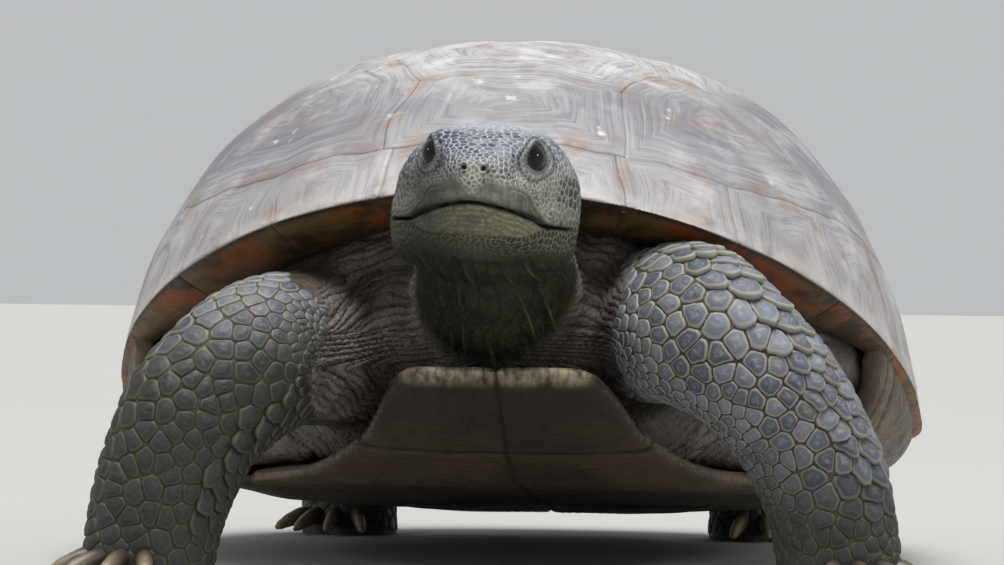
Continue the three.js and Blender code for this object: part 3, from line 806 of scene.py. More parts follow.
VOXEL = 1.4
EYE_AXIS = unit(np.array([0.87, 0.48, 0.1]))
MOUTH_ACROSS = [(0, -2.9), (2.5, -3.05), (5, -3.5), (8, -4.2), (12, -5.1), (15, -6.2), (18, -7), (21, -7.2)]
MOUTH_ALONG = [(12, -7.3), (18, -7.2), (24, -7.1), (28, -7.1), (30, -7.0), (32, -6.6), (35, -5.8), (38, -5.3),
               (41, -4.9), (44, -4.4), (50, -3)]
NOSTRIL = np.array([2.15, 49, 4.6])
THROAT_FOLDS = [(-13.5, -11), (-7.2, -7.6), (-4.4, -2.2), (4.0, 8.2), (9.6, 13.2)]


def blob(points, centre, radii):
    return np.exp(-((((points - centre) / radii) ** 2).sum(-1)))


def table(pairs, x):
    xs, ys = zip(*pairs)
    return np.interp(x, xs, ys)


def mouth_height(h):
    across = table(MOUTH_ACROSS, np.abs(h[:, 0]))
    return lerp(table(MOUTH_ALONG, h[:, 1]), across, smooth(40, 46, h[:, 1]))


def beak_zones(h):
    """Height over the mouth line, and how far up and down the horn of the beak reaches."""
    over = h[:, 2] - mouth_height(h)
    upper = 5.7 * smooth(23, 48, h[:, 1]) ** 1.5 + 0.5 * waves(h, 5, 38, 2) * smooth(30, 40, h[:, 1])
    upper -= 3.1 * np.exp(-((h[:, 0] / 2.4) ** 2)) * smooth(42, 46, h[:, 1])
    lower = np.maximum(mouth_height(h) + 10.2, 0.3) * smooth(25, 38, h[:, 1])
    return over, upper, lower


def head_forms(h):
    m = np.stack([np.abs(h[:, 0]), h[:, 1], h[:, 2]], -1)
    rise = 1.5 * blob(m, (10.8, 34.5, 12.6), (3.0, 6, 2.2))
    rise += 0.5 * blob(m, (6, 41, 10), (3, 5, 3))
    rise -= 1.5 * blob(m, (9.4, 41, 4.4), (2.8, 3.6, 3.2))
    rise += 0.9 * blob(m, (2.6, 48.5, 5), (2.6, 3, 2.6))
    rise -= 0.5 * blob(m, (0, 50, 4.8), (0.9, 3, 2.2))
    rise += 1.3 * blob(m, (9, 44.5, -1), (3.6, 5, 2.6))
    rise -= 0.5 * blob(m, (4.6, 48.4, 0.4), (1.4, 3, 3))
    rise -= 0.9 * blob(m, (14.6, 29, -0.8), (3, 7, 2.4))
    rise += 0.9 * blob(m, (19.6, 14, -6.5), (4, 7, 5))
    rise -= 0.45 * blob(m, (19, 8.5, 1.5), (3.2, 3.4, 3.6))
    return rise + 0.22 * waves(h, 9, 31, 2)


def mouth_forms(h):
    over, upper, lower = beak_zones(h)
    fade = smooth(16, 24, h[:, 1])
    front = smooth(24, 44, h[:, 1])
    lip = lerp(0.2, 0.6, front) * smooth(0, 0.35, over) * smooth(3.2, 0.8, over)
    tuck = lerp(0.1, 0.7, front) * smooth(0, -0.35, over) * smooth(-4, -1, over)
    groove = 1.7 * np.exp(-((over / lerp(0.3, 0.52, front)) ** 2))
    edge = 0.07 * np.exp(-(((over - upper) / 0.5) ** 2)) * smooth(1, 2.2, upper)
    edge += 0.24 * np.exp(-(((over + lower) / 0.4) ** 2)) * smooth(1, 2.5, lower)
    crease = sum(0.28 * np.exp(-(((over - upper - k + 0.3 * waves(h, 5, 35, 2)) / 0.32) ** 2))
                 for k in (-1.3, 1.2, 2.4))
    crease = crease * smooth(23, 30, h[:, 1]) * smooth(49, 45, h[:, 1])
    r = nostril_distance(h)
    hole = 1.6 * np.exp(-((r / 0.58) ** 2)) - 0.24 * np.exp(-(((r - 1.1) / 0.34) ** 2))
    return fade * (lip - tuck - groove) - edge - crease - hole


def nostril_distance(h):
    away = np.hypot(np.abs(h[:, 0]) - NOSTRIL[0], (h[:, 2] - NOSTRIL[2]) * 1.15)
    return np.where(h[:, 1] > 44, away, 9)


def painted_hollow_shade(h, margin):
    """Painted shade: 1 inside the nostrils and along the shut mouth, and as the margin gives it on the lids' margins
    and in the crease round each lid.
    """
    over = beak_zones(h)[0]
    ragged = np.abs(over) + 0.14 * waves(h, 1.6, 36, 2)
    mouth = smooth(0.72, 0.2, ragged) * smooth(15, 20, h[:, 1])
    return np.maximum(np.maximum(mouth, smooth(0.75, 0.4, nostril_distance(h))), margin)


def horn_ridges(h):
    """Growth lines of the beak: upright above the mouth, along the jaw below it."""
    over, upper, lower = beak_zones(h)
    above = smooth(0, 0.5, over) * smooth(-1.6, 2.4, upper - over)
    below = smooth(0, -0.5, over) * smooth(0, 0.8, lower + over)
    around = np.arctan2(h[:, 0], h[:, 1] - 30) * 14
    upright = waves(np.stack([around * 3.2, h[:, 1] * 0.2, h[:, 2] * 0.35], -1), 3.2, 41, 3)
    along = waves(np.stack([around * 0.25, over * 3, h[:, 1] * 0.1], -1), 2.6, 42, 3)
    facet = 0.4 * np.exp(-(((np.abs(h[:, 0]) - 2.2 + 0.4 * (over + 1.5)) / 0.4) ** 2)) * smooth(-0.8, -2, over)
    return above * 0.06 * upright + below * (0.09 * along - facet * smooth(40, 44, h[:, 1])), above + below


def eye_coordinates(h, side):
    """Distance from the eye's middle, angle off its axis, and how far out over the opening."""
    away = h - EYE_PLACE * [side, 1, 1]
    axis = EYE_AXIS * [side, 1, 1]
    radius = np.linalg.norm(away, axis=-1)
    toward = away / np.maximum(radius, 1e-6)[:, None]
    forward = unit(np.cross(axis, [0, 0, 1])) * side
    up = np.cross(forward, axis) * side
    angle = np.arccos(np.clip(toward @ axis, -1, 1))
    spin = np.arctan2(toward @ up, toward @ forward)
    across, tall = angle * np.cos(spin), angle * np.sin(spin)
    open_up = 0.70 + 0.08 * np.cos(spin - 0.9)
    reach = np.hypot((across - 0.22 * tall) / 0.78, tall / np.where(tall > 0, open_up, 0.58))
    return radius, toward, angle, reach, tall


def lids(h):
    """Places of the head with the lids drawn over the two eyes, and how much each is lid."""
    lid, margin = np.zeros((2, len(h)))
    moved = h.copy()
    for side in (1, -1):
        radius, toward, angle, reach, tall = eye_coordinates(h, side)
        near = (angle < 1.35) & (radius < 11)
        thick = lerp(0.55, 0.85, smooth(-0.3, 0.4, tall))
        rim = EYE_RADIUS + thick * smooth(0.97, 1.14, reach)
        fold = 0.28 * np.exp(-(((reach - 1.42) / 0.07) ** 2)) + 0.2 * np.exp(-(((reach - 1.7) / 0.07) ** 2))
        shell = rim - fold
        over = shell - radius
        blend = smooth(-1.2, 1.2, over)
        target = np.where(reach < 1, EYE_RADIUS - 0.45 + 0.45 * smooth(0.93, 1.0, reach),
                          lerp(radius, shell, blend) + 0.3 * blend * (1 - blend))
        moved = np.where(near[:, None], EYE_PLACE * [side, 1, 1] + toward * target[:, None], moved)
        lid = np.maximum(lid, np.where(near, smooth(1.4, 1.15, reach), 0))
        # the margin mask is painted shade: dark where the lid meets the eyeball, a weaker band beyond it and a dark
        # line in the crease round the lid
        wet = smooth(lerp(1.05, 1.17, smooth(0, 0.4, tall)), 0.99, reach)
        wet = np.maximum(wet, 0.4 * smooth(1.26, 1.1, reach))
        wet = np.maximum(wet, 0.7 * np.exp(-(((reach - 1.42) / 0.08) ** 2)))
        margin = np.maximum(margin, np.where(near, wet, 0))
    return moved, lid, margin


def nearest_two(points, seeds):
    """Each place's nearest seed, and how far inside that seed's cell it lies."""
    tree = KDTree(len(seeds))
    for i, seed in enumerate(seeds.tolist()):
        tree.insert(seed, i)
    tree.balance()
    found = [tree.find_n(p, 2) for p in points.tolist()]
    first = np.array([pair[0][1] for pair in found])
    second = np.array([pair[1][1] for pair in found])
    near = np.linalg.norm(points - seeds[first], axis=-1)
    far = np.linalg.norm(points - seeds[second], axis=-1)
    apart = np.linalg.norm(seeds[first] - seeds[second], axis=-1)
    return first, (far ** 2 - near ** 2) / (2 * apart)


def scattered(points, spacing, area, seed, rounds=5):
    """Evenly spread seeds, about one spacing apart."""
    rng = np.random.default_rng(seed)
    weight = area / spacing ** 2
    count = int(weight.sum() * 1.12)
    share = weight / weight.sum()
    seeds = points[rng.choice(len(points), count, replace=False, p=share)]
    sample = points[rng.choice(len(points), min(len(points) - 1, count * 12), replace=False, p=share)]
    for _ in range(rounds):
        owner = nearest_two(sample, seeds)[0]
        held = np.bincount(owner, minlength=count)[:, None]
        total = np.stack([np.bincount(owner, sample[:, k], count) for k in range(3)], -1)
        seeds = np.where(held > 0, total / np.maximum(held, 1), seeds)
    return seeds


def vertex_area(points, edges):
    length = np.linalg.norm(points[edges[:, 0]] - points[edges[:, 1]], axis=-1)
    count = len(points)
    total = np.bincount(edges[:, 0], length, count) + np.bincount(edges[:, 1], length, count)
    return (total / np.maximum(np.bincount(edges.ravel(), minlength=count), 1)) ** 2


def folds(points, along, spacing, seed, wander=0.5):
    """Rounded ridges with narrow valleys, 0 on a ridge and 1 in a valley."""
    t = along / spacing + wander * waves(points, spacing * 3.2, seed, 3)
    return 1 - np.abs(np.sin(np.pi * t)) ** 0.55


def push(skin, amount):
    set_places(skin, places_of(skin) + normals_of(skin) * amount[:, None])


REFINED = 3
SHOULDER_START = {1: 32, -1: 37}


def refine(skin, step):
    """Splits the faces where detail is fine: neck and shoulders, then the head, then its face."""
    p = places_of(skin)
    h = layout_to_head(p)
    bare = (p[:, 1] < -74) & (p[:, 2] > 14) & (shoulder_zone(p) < 0.6)
    settle = smooth(-72, -80, p[:, 1])
    if step == 0:
        chosen = bare | (h[:, 1] > -4)
    else:
        chosen = ((h[:, 1] > 1) & (h[:, 2] > -22)) | (bare & (p[:, 1] < -96) & (p[:, 2] > 34))
    if step == 2:
        m = np.stack([np.abs(h[:, 0]), h[:, 1], h[:, 2]], -1)
        eyes = np.linalg.norm(m - EYE_PLACE, axis=-1) < 8
        lip = (np.abs(h[:, 2] - mouth_height(h)) < 2) & (h[:, 1] > 16)
        chosen = (eyes | (h[:, 1] > 39) | lip) & (h[:, 2] > -22)
        settle = smooth(1, 4, h[:, 1])
    before = len(p)
    subdivide_where(skin, chosen)
    p = places_of(skin)
    free = np.concatenate([settle, np.ones(len(p) - before)])
    set_places(skin, relaxed(p, edges_of(skin), 3, 0.5, 1 - free))


def shoulder_zone(p):
    """1 where the forelegs carry large scales, 0 on the bare skin between and behind them."""
    side = np.where(p[:, 0] > 3, 1, -1)
    start = np.where(side > 0, SHOULDER_START[1], SHOULDER_START[-1])
    wander = 2.5 * waves(p, 16, 51, 3)
    return smooth(-3, 5, side * p[:, 0] - start + wander) * smooth(-84, -96, p[:, 1] + wander)


def throat_folds(h):
    """Long narrow ridges down the throat, which drift as they go."""
    down = (-14 - h[:, 2]) / 17
    rise = np.zeros(len(h))
    for start, end in THROAT_FOLDS:
        off = h[:, 0] - lerp(start, end, down) - 0.35 * waves(h, 10, 61 + int(start), 2)
        part = 0.65 + 0.75 * waves(h, 5, 90 + int(start), 2)
        rise += np.clip(part, 0, 1) * np.exp(-((off / 0.36) ** 2))
        rise -= 0.5 * np.exp(-(((np.abs(off) - 1.5) / 0.9) ** 2))
    return rise


def dark_cells(h):
    """Where the head's scales are dark: left of the forehead's middle, the crown and both cheeks."""
    spots = ((-4, 43, 10.2, 4.6, 6, 4.4, 0.95), (-8, 36, 13, 4, 5, 4, 0.5), (5, 36, 14, 3, 4, 3, 0.55),
             (19, 20, 1, 5, 7, 3.6, 0.75), (-19, 20, 3, 5, 8, 4, 0.5), (-7, 46, 2, 4, 6, 4, 0.6),
             (4, 20, 15, 12, 12, 3.5, -0.5), (13, 36, 12, 4, 7, 3, -0.4))
    total = np.zeros(len(h))
    for x, y, z, across, along, tall, amount in spots:
        total += amount * blob(h, (x, y, z), (across, along, tall))
    return np.clip(total, -0.6, 0.9)


def sculpt(skin):
    """The head's features, the folds of the neck and shoulders, and the small scales."""
    for step in range(REFINED):
        refine(skin, step)
    h = layout_to_head(places_of(skin))
    head = smooth(-4, 4, h[:, 1]) * smooth(-21, -17, h[:, 2])
    push(skin, head_forms(h) * head)
    h = layout_to_head(places_of(skin))
    push(skin, mouth_forms(h) * head)
    h = layout_to_head(places_of(skin))
    ridges, horn = horn_ridges(h)
    push(skin, ridges * head)
    h, lid, margin = lids(layout_to_head(places_of(skin)))
    set_places(skin, head_to_layout(h))

    p = places_of(skin)
    throat = smooth(-11, -16, h[:, 2]) * smooth(-30, -18, h[:, 1]) * smooth(30, 24, h[:, 1])
    throat *= smooth(25, 19, np.abs(h[:, 0]))
    face = np.maximum(head, throat)
    scaled = shoulder_zone(p)
    bare = (1 - face) * smooth(-62, -76, p[:, 1]) * smooth(8, 16, p[:, 2]) * (1 - scaled)
    line = p[:, 2] + 0.4 * np.abs(p[:, 0] - 3) - 0.25 * (p[:, 1] + 110)
    ring = np.hypot(p[:, 0] - 4, (p[:, 2] - 74) * 1.1)
    below = smooth(60, 50, p[:, 2])
    large = folds(p, lerp(line, ring, below), 6.0, 71)
    small = folds(p, lerp(line, ring, below), 2.1, 72, 0.6)
    strength = 0.6 + 0.4 * waves(p, 12, 73, 2)
    push(skin, -bare * (1.2 * large * strength + 0.75 * small))
    creases = throat_folds(h)
    pleats = folds(p, h[:, 0], 3.4, 74, 0.7)
    wrinkles = folds(p, h[:, 0] + 0.35 * h[:, 2], 1.5, 75, 0.8)
    push(skin, throat * (0.55 * creases - 0.5 * pleats - 0.22 * wrinkles))

    p = places_of(skin)
    h = layout_to_head(p)
    crown = smooth(4, 9, h[:, 2]) * smooth(46, 40, h[:, 1])
    cheek = smooth(11, 15, np.abs(h[:, 0])) * smooth(30, 24, h[:, 1]) * smooth(-9, -6, h[:, 2])
    spacing = np.full(len(p), 1.35)
    jaw = smooth(-5, -8, h[:, 2]) * smooth(-18, -14, h[:, 2])
    spacing = lerp(spacing, 2.1, np.maximum(crown, cheek))
    spacing = lerp(spacing, 1.75, jaw)
    spacing = lerp(spacing, 0.9, lid)
    spacing = lerp(2.2, spacing, head)
    sited = (p[:, 1] < -90) & (p[:, 2] > 14) & (horn * head < 0.5)
    seeds = scattered(p[sited], spacing[sited], vertex_area(p, edges_of(skin))[sited], 81)
    seed_dark = dark_cells(layout_to_head(seeds))
    owner, inside = nearest_two(p[sited], seeds)
    border = np.full(len(p), 1.0)
    border[sited] = inside
    tone = np.full(len(p), 0.5)
    tone[sited] = np.clip(np.random.default_rng(82).random(len(seeds)) * 0.75 + 0.25 - seed_dark, 0, 1)[owner]
    strength = (1 - horn * head) * lerp(1, 0.45, lid) * lerp(0.8, 1, head) * (1 - 0.5 * throat)
    seam = smooth(lerp(0.42, 0.26, head), 0.04, border) * strength
    plate = smooth(0, 0.7, border) * strength
    push(skin, 0.12 * plate - 0.13 * seam)
    set_attribute(skin, "seam", seam)
    set_attribute(skin, "tone", tone)
    set_attribute(skin, "horn", horn * head)
    set_attribute(skin, "lid", lid)
    set_attribute(skin, "face", face)
    set_attribute(skin, "throat", throat)
    set_attribute(skin, "crease", throat * smooth(0.25, 1, creases))
    # pleat: the valleys of the throat's pleats and wrinkles, darkened in the material as painted shade
    set_attribute(skin, "pleat", throat * np.maximum(pleats, 0.7 * wrinkles))
    # fold: the valleys of the neck and shoulder folds, darkened in the material as painted shade
    set_attribute(skin, "fold", bare * np.maximum(large * strength, 0.9 * small))
    over = beak_zones(h)[0]
    set_attribute(skin, "over", np.clip(over, -12, 12))
    # painted shade in the nostrils, the mouth slit and round the eyes
    set_attribute(skin, "hollow_shade", painted_hollow_shade(h, margin) * smooth(-4, 2, h[:, 1]))
    # painted shade: darker on the animal's right side of the snout and lower face
    snout_side_shade = smooth(1, -12, h[:, 0]) * smooth(10, 2, h[:, 2]) * lerp(1, 0.5, smooth(-13, -21, h[:, 0]))
    set_attribute(skin, "snout_side_shade", snout_side_shade)
    set_attribute(skin, "above", np.clip(h[:, 2], -40, 20))
    set_attribute(skin, "plated", np.maximum(scaled, smooth(60, 75, p[:, 1])))


def eyes(material):
    """Two glossy balls with a low cornea over the iris."""
    for side, name in ((1, "left"), (-1, "right")):
        middle = EYE_PLACE * [side, 1, 1]
        axis = unit(EYE_AXIS * [side, 1, 1])
        across = unit(np.cross(axis, [0, 0, 1]))
        up = np.cross(across, axis)
        angle = np.linspace(0.02, np.pi - 0.02, 72)
        c, s = unit_ring(96)
        radius = EYE_RADIUS + 0.22 * smooth(0.72, 0.2, angle)
        ring = (across * c[:, None] + up * s[:, None])[None] * (radius * np.sin(angle))[:, None, None]
        rows = middle + ring + axis * (radius * np.cos(angle))[:, None, None]
        points, faces = capped(rows)
        points = head_to_layout(points)
        faces = outward(points - points.mean(0), faces)
        eye = make_object("eye_" + name + "_ball", points, faces, material)
        set_attribute(eye, "gaze", np.concatenate([np.repeat(angle, 96), [0, np.pi]]))
        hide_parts("eye_" + name)


# ---------------------------------------------------------------- scales and claws

# Rings of a large and a small scale: how far out, then how high for a rise of 1.
LARGE_RINGS = [(0.26, 1.0), (0.44, 0.98), (0.5, 0.86), (0.62, 0.87), (0.68, 0.75), (0.8, 0.74), (0.92, 0.58),
               (1.0, 0.2)]
SMALL_RINGS = [(0.45, 1.0), (0.78, 0.8), (1.0, 0.2)]
SCALE_GAP = 0.3
SKIRT = -0.55


def along_limb(p, stations, across):
    """Share of a limb's length, distance from its middle line, angle round it and way to its tip."""
    u = np.linspace(0.001, 0.999, 160)
    centre, side, up, sizes = loft_frame(stations, across, u)
    distance = np.linalg.norm(p[:, None] - centre[None], axis=-1)
    nearest = distance.argmin(1)
    away = p - centre[nearest]
    angle = np.arctan2((away * up[nearest]).sum(-1), (away * side[nearest]).sum(-1))
    tip = unit(np.gradient(centre, axis=0))[nearest]
    return u[nearest], distance.min(1), angle, tip, sizes.max(1)[nearest], unit(away)


def limbs():
    """Each scaled limb: its stations, the side they lean to, and where and how large its scales are."""
    made = {}
    for side, name in ((1, "left"), (-1, "right")):
        leg = FORE_LEGS[side]
        made["front_" + name] = (np.array(leg["stations"], float), leg["across"], side, "fore")
        hind = np.array(HIND_STATIONS, float) * [side, 1, 1, 1, 1, 1]
        made["hind_" + name] = (hind, [side, 0, 0], side, "hind")
    made["tail"] = (np.array(TAIL_STATIONS, float), [1, 0, 0], 1, "tail")
    return made


def scale_sizes(kind, side, p, normal, place):
    """Spacing of the scales in mm, and 0 where there are none."""
    u, distance, angle, _, reach, away = place
    wander = 1 + 0.12 * waves(p, 14, 91, 2)
    if kind == "fore":
        outer = normal @ unit(np.array([side * 0.75, -0.55, 0.25]))
        size = lerp(3.4, 5.7, smooth(-0.35, 0.5, outer))
        size = lerp(size, 6.6, spur_share(kind, side, angle, u))
        fine = lerp(14, 4, 0.5 + 0.5 * side)
        size = lerp(2.1, size, smooth(-2, fine, side * p[:, 0] - SHOULDER_START[side]))
        size = lerp(2.3, size, smooth(-0.6, -0.2, outer))
        size = lerp(3.8, size, smooth(5, 22, p[:, 2]))
        there = (shoulder_zone(p) > 0.45) & (u > 0.155) & ((normal * away).sum(-1) > 0.5)
        there &= distance < reach * lerp(1.0, 1.14, smooth(0.2, 0.4, u))
        there &= (outer > -0.7) | (u > 0.35)
        there &= (side > 0) | (p[:, 2] < 47.5 - 0.5 * p[:, 0])
    elif kind == "hind":
        size = lerp(3.2, 4.6, smooth(0, 14, p[:, 2])) * lerp(0.5, 1, smooth(reach * 1.14, reach * 1.02, distance))
        there = (u > 0.2) & (distance < reach * 1.16) & (p[:, 1] > 76)
    else:
        size = lerp(1.6, 2.7, smooth(reach * 1.2, reach, distance))
        there = (u > 0.25) & (distance < reach * 1.2)
    return np.where(there & (p[:, 2] > 2.2), size * wander, 0)


def spur_share(kind, side, angle, u):
    """1 along the outer edge of the forearm, where the scales are long and stand out."""
    if kind != "fore":
        return np.zeros(len(u))
    return smooth(0.6, 0.2, np.abs(angle - 0.55)) * smooth(0.22, 0.34, u) * smooth(0.86, 0.7, u)


def limb_scales(name, skin_places, skin_normals, skin_area, tree, material, seed):
    stations, across, side, kind = limbs()[name]
    low = stations[:, :3].min(0) - 30
    high = stations[:, :3].max(0) + 30
    near = ((skin_places > low) & (skin_places < high)).all(1)
    p, normal, area = skin_places[near], skin_normals[near], skin_area[near]
    size = scale_sizes(kind, side, p, normal, along_limb(p, stations, across))
    there = size > 0
    p, normal, area, size = p[there], normal[there], area[there], size[there]
    seeds = scattered(p, size, area, seed, 7)
    pick = KDTree(len(p))
    for i, place in enumerate(p.tolist()):
        pick.insert(place, i)
    pick.balance()
    nearest = np.array([pick.find(s)[1] for s in seeds.tolist()])
    seeds, normal, size = p[nearest], normal[nearest], size[nearest]
    u, _, angle, tip, _, _ = along_limb(seeds, stations, across)
    spur = spur_share(kind, side, angle, u)
    lie = unit(tip - normal * (tip * normal).sum(-1, keepdims=True))
    beside = np.cross(normal, lie)
    sites = KDTree(len(seeds))
    for i, place in enumerate(seeds.tolist()):
        sites.insert(place, i)
    sites.balance()
    rng = np.random.default_rng(seed + 1)
    pieces = []
    for i, place in enumerate(seeds):
        around = [j for _, j, _ in sites.find_n(place.tolist(), 13) if j != i]
        toward = seeds[around] - place
        flat = np.stack([toward @ lie[i], toward @ beside[i]], -1)
        long = np.linalg.norm(toward, axis=-1)
        facing = normal[around] @ normal[i] > -0.2
        flat, long, others = flat[facing], long[facing], size[around][facing]
        split = np.clip(size[i] / (size[i] + others), 0.35, 0.65)
        reach = np.maximum(long * split - SCALE_GAP / 2, 0.3)
        count = 18 if size[i] > 3.3 else 12
        spin = np.linspace(0, 2 * np.pi, count, endpoint=False)
        facing = np.cos(spin[:, None] - np.arctan2(flat[:, 1], flat[:, 0])[None])
        pull = (np.maximum(facing, 0) / reach[None]) ** 18
        radius = (pull.sum(1) + (1 / (0.8 * size[i])) ** 18) ** (-1 / 18)
        radius *= 1 + 0.5 * spur[i] * np.maximum(np.cos(spin), 0) ** 4
        radius *= 1 + 0.03 * rng.normal(size=count)
        pieces.append(one_scale(place, normal[i], lie[i], beside[i], size[i], spin, radius, spur[i], tree,
                                rng, (angle[i] / (2 * np.pi) + 0.5, u[i])))
    points, faces, own = joined_pieces(pieces)
    coat = make_object("scales_" + name, points, faces, material)
    # low carries the painted shade on the lower parts of the limbs
    for key in ("ring", "tone", "low"):
        set_attribute(coat, key, own[key])
    layer = coat.data.uv_layers.new(name="OFBake")
    corner = np.zeros(len(coat.data.loops), np.int32)
    coat.data.loops.foreach_get("vertex_index", corner)
    layer.data.foreach_set("uv", own["uv"][corner].astype(np.float32).ravel())
    return coat


def one_scale(place, normal, lie, beside, size, spin, radius, spur, tree, rng, root):
    """A closed plate with growth rings, its far edge lifted over the next one."""
    rings = LARGE_RINGS if len(spin) > 12 else SMALL_RINGS
    rise = np.clip(0.135 * size, 0.35, 0.85) * (1 + 0.3 * spur)
    tilt = (0.05 + 0.26 * spur) * size
    c, s = np.cos(spin), np.sin(spin)
    drop = []
    for share in (0.5, 1.0):
        for x, y in zip(c * radius * share, s * radius * share):
            start = place + lie * x + beside * y + normal * 5
            hit = tree.ray_cast(start.tolist(), (-normal).tolist(), 12)
            drop.append(5 - hit[3] if hit[0] is not None else 0.0)
    half, full = np.array(drop).reshape(2, -1)
    rows = []
    shares = []
    for share, height in rings + [(1.0, None)]:
        sink = half * 4 * share * (1 - share) + full * share * (2 * share - 1)
        if height is None:
            lift = np.full(len(spin), SKIRT)
        else:
            lift = rise * height + tilt * share * c * radius / size + 0.03 * size * spur
            lift = np.maximum(lift, 0.12)
        rows.append(place + lie * (c * radius * share)[:, None] + beside * (s * radius * share)[:, None]
                    + normal * (sink + lift)[:, None])
        shares += [share] * len(spin)
    rows = np.array(rows)
    columns = len(spin)
    points = np.concatenate([rows.reshape(-1, 3), [place + normal * rise * 1.04]])
    points[:, 2] = np.maximum(points[:, 2], 0.05)
    faces = grid_faces(len(rows), columns, True).tolist()
    faces += [[(k + 1) % columns, k, len(points) - 1] for k in range(columns)]
    faces.append([(len(rows) - 1) * columns + k for k in range(columns)])
    faces = outward(points - points.mean(0), faces)
    ring = np.array(shares + [0.0])
    turn = np.concatenate([np.tile(spin, len(rows)), [0]])
    uv = np.stack([0.02 + 0.96 * root[0] + 0.0015 * ring * np.cos(turn),
                   0.02 + 0.96 * root[1] + 0.0015 * ring * np.sin(turn)], -1)
    ring[-1 - columns:-1] = 1.15
    # painted shade: 1 low on the limbs, starting higher up on the animal's right side, which lies in shade
    low = smooth(*((74, 46) if place[0] < 0 else (42, 14)), np.full(len(points), place[2]))
    values = {"ring": ring, "tone": np.full(len(points), rng.random()), "low": low, "uv": uv}
    return points, faces, values


def all_scales(skin, material):
    points, normals = places_of(skin), normals_of(skin)
    area = vertex_area(points, edges_of(skin))
    polygons = [tuple(f.vertices) for f in skin.data.polygons]
    tree = BVHTree.FromPolygons(points.tolist(), polygons)
    for seed, name in enumerate(limbs()):
        limb_scales(name, points, normals, area, tree, material, 200 + 10 * seed)


def claws(material):
    """Flat blunt nails, five on each forefoot and four on each hind foot."""
    pieces = []
    for side in (1, -1):
        fore = FORE_LEGS[side]
        sets = [(fore["foot"], fore["heading"], range(-2, 3), 11.5, 3.4, 7),
                ((HIND_FOOT[0] * side, HIND_FOOT[1]), None, range(4), 9, 3.2, 6)]
        for foot, heading, numbers, length, thick, height in sets:
            for i in numbers:
                turn = math.radians(heading + i * 27 if heading is not None else side * (-16 + 27 * i))
                long = length - (abs(i) if heading is not None else 0)
                out = np.array([math.sin(turn), -math.cos(turn), 0])
                stations = []
                for reach, z, wide, tall in ((8.5, 0.95, 0.62, 2.6), (14, 0.86, 0.6, 2.4),
                                             (13 + 0.5 * long, 0.66, 0.52, 2.0),
                                             (13 + 0.82 * long, 0.42, 0.4, 1.4), (13 + long, 0.26, 0.18, 0.6)):
                    place = np.array([*foot, 0]) + out * reach + [0, 0, z * height]
                    stations.append([*place, wide * thick, tall, tall])
                points, faces = loft(stations, [math.cos(turn), math.sin(turn), 0], 0, 20, 6)
                points[:, 2] = np.maximum(points[:, 2], 0.05)
                share = ((points - [*foot, 0]) @ out - 8.5) / (4.5 + long)
                pieces.append((points, faces, {"out": np.clip(share, 0, 1)}))
    points, faces, own = joined_pieces(pieces)
    piece = make_object("claws", points, faces, material)
    set_attribute(piece, "out", own["out"])


# ---------------------------------------------------------------- the plastron

def gular_rise(y):
    return GULAR_RISE * smooth(92, 152, -y) ** 1.15


def plastron_half_width(y):
    ys, xs = zip(*PLASTRON_EDGE)
    return np.interp(y, ys, xs)


def plastron_plate():
    t = np.linspace(0, 1, 260)
    y = lerp(-150, 121, 0.5 - 0.5 * np.cos(np.pi * t))
    end = np.minimum(smooth(-150.3, -143, y), smooth(121.3, 115, y)) ** 0.5
    half = plastron_half_width(y)
    c, s = unit_ring(280)
    across = np.sign(c) * np.abs(c) ** 0.35
    tall = np.sign(s) * np.abs(s) ** 0.35
    notch = 9 * smooth(70, 121, y)[:, None] * (1 - np.abs(across))[None]
    x = half[:, None] * across[None] * lerp(0.9, 1, end)[:, None]
    z = PLASTRON_WALL / 2 * (1 + tall[None] * end[:, None]) + gular_rise(y)[:, None]
    places = np.stack([x + skew_across(y)[:, None], y[:, None] - notch, z], -1)
    return capped(places)


def bridge(side):
    angles = np.radians(np.linspace(40, 140, 300))
    x_rim, y_rim = rim_outline(angles)
    rows = []
    for up in np.linspace(0, 1, 40):
        share = np.linspace(-1, 1, 90)
        y = share * BRIDGE_END + 16 * share * (up - 0.5)
        x = lerp(63, np.interp(y, y_rim, np.abs(x_rim)) * 0.985, math.sin(up * math.pi / 2))
        height = rim_height(np.interp(y, y_rim, angles))
        z = lerp(0.2, height + 1, up ** 1.6)
        outer = np.stack([x, y, z], -1)
        inner = np.stack([x - PLASTRON_WALL, y, z + 1.5], -1)[::-1]
        rows.append(np.concatenate([outer, inner]) * [side, 1, 1])
    points, faces = capped(np.array(rows))
    return points, faces


def seam_distance(p):
    """Distance of plastron places from the nearest seam between its plates."""
    x = p[:, 0] - skew_across(p[:, 1])
    wander = 0.9 * waves(p, 22, 301, 2)
    apart = np.abs(x + wander)
    for k, y in enumerate(PLASTRON_SEAMS):
        curve = (3.5 if k % 2 else -3) * (np.abs(x) / 60) ** 2
        apart = np.minimum(apart, np.abs(p[:, 1] - y - curve + wander * 0.8))
    return apart


def drop_specks(piece):
    """Keeps the largest body, because the voxel remesh leaves specks beside it."""
    mesh = bmesh.new()
    mesh.from_mesh(piece.data)
    left, bodies = set(mesh.verts), []
    while left:
        edge = [left.pop()]
        body = []
        while edge:
            corner = edge.pop()
            body.append(corner)
            near = [e.other_vert(corner) for e in corner.link_edges]
            near = [v for v in near if v in left]
            left.difference_update(near)
            edge += near
        bodies.append(body)
    bodies.sort(key=len)
    bmesh.ops.delete(mesh, geom=[v for body in bodies[:-1] for v in body])
    mesh.to_mesh(piece.data)
    mesh.free()
    piece.data.update()


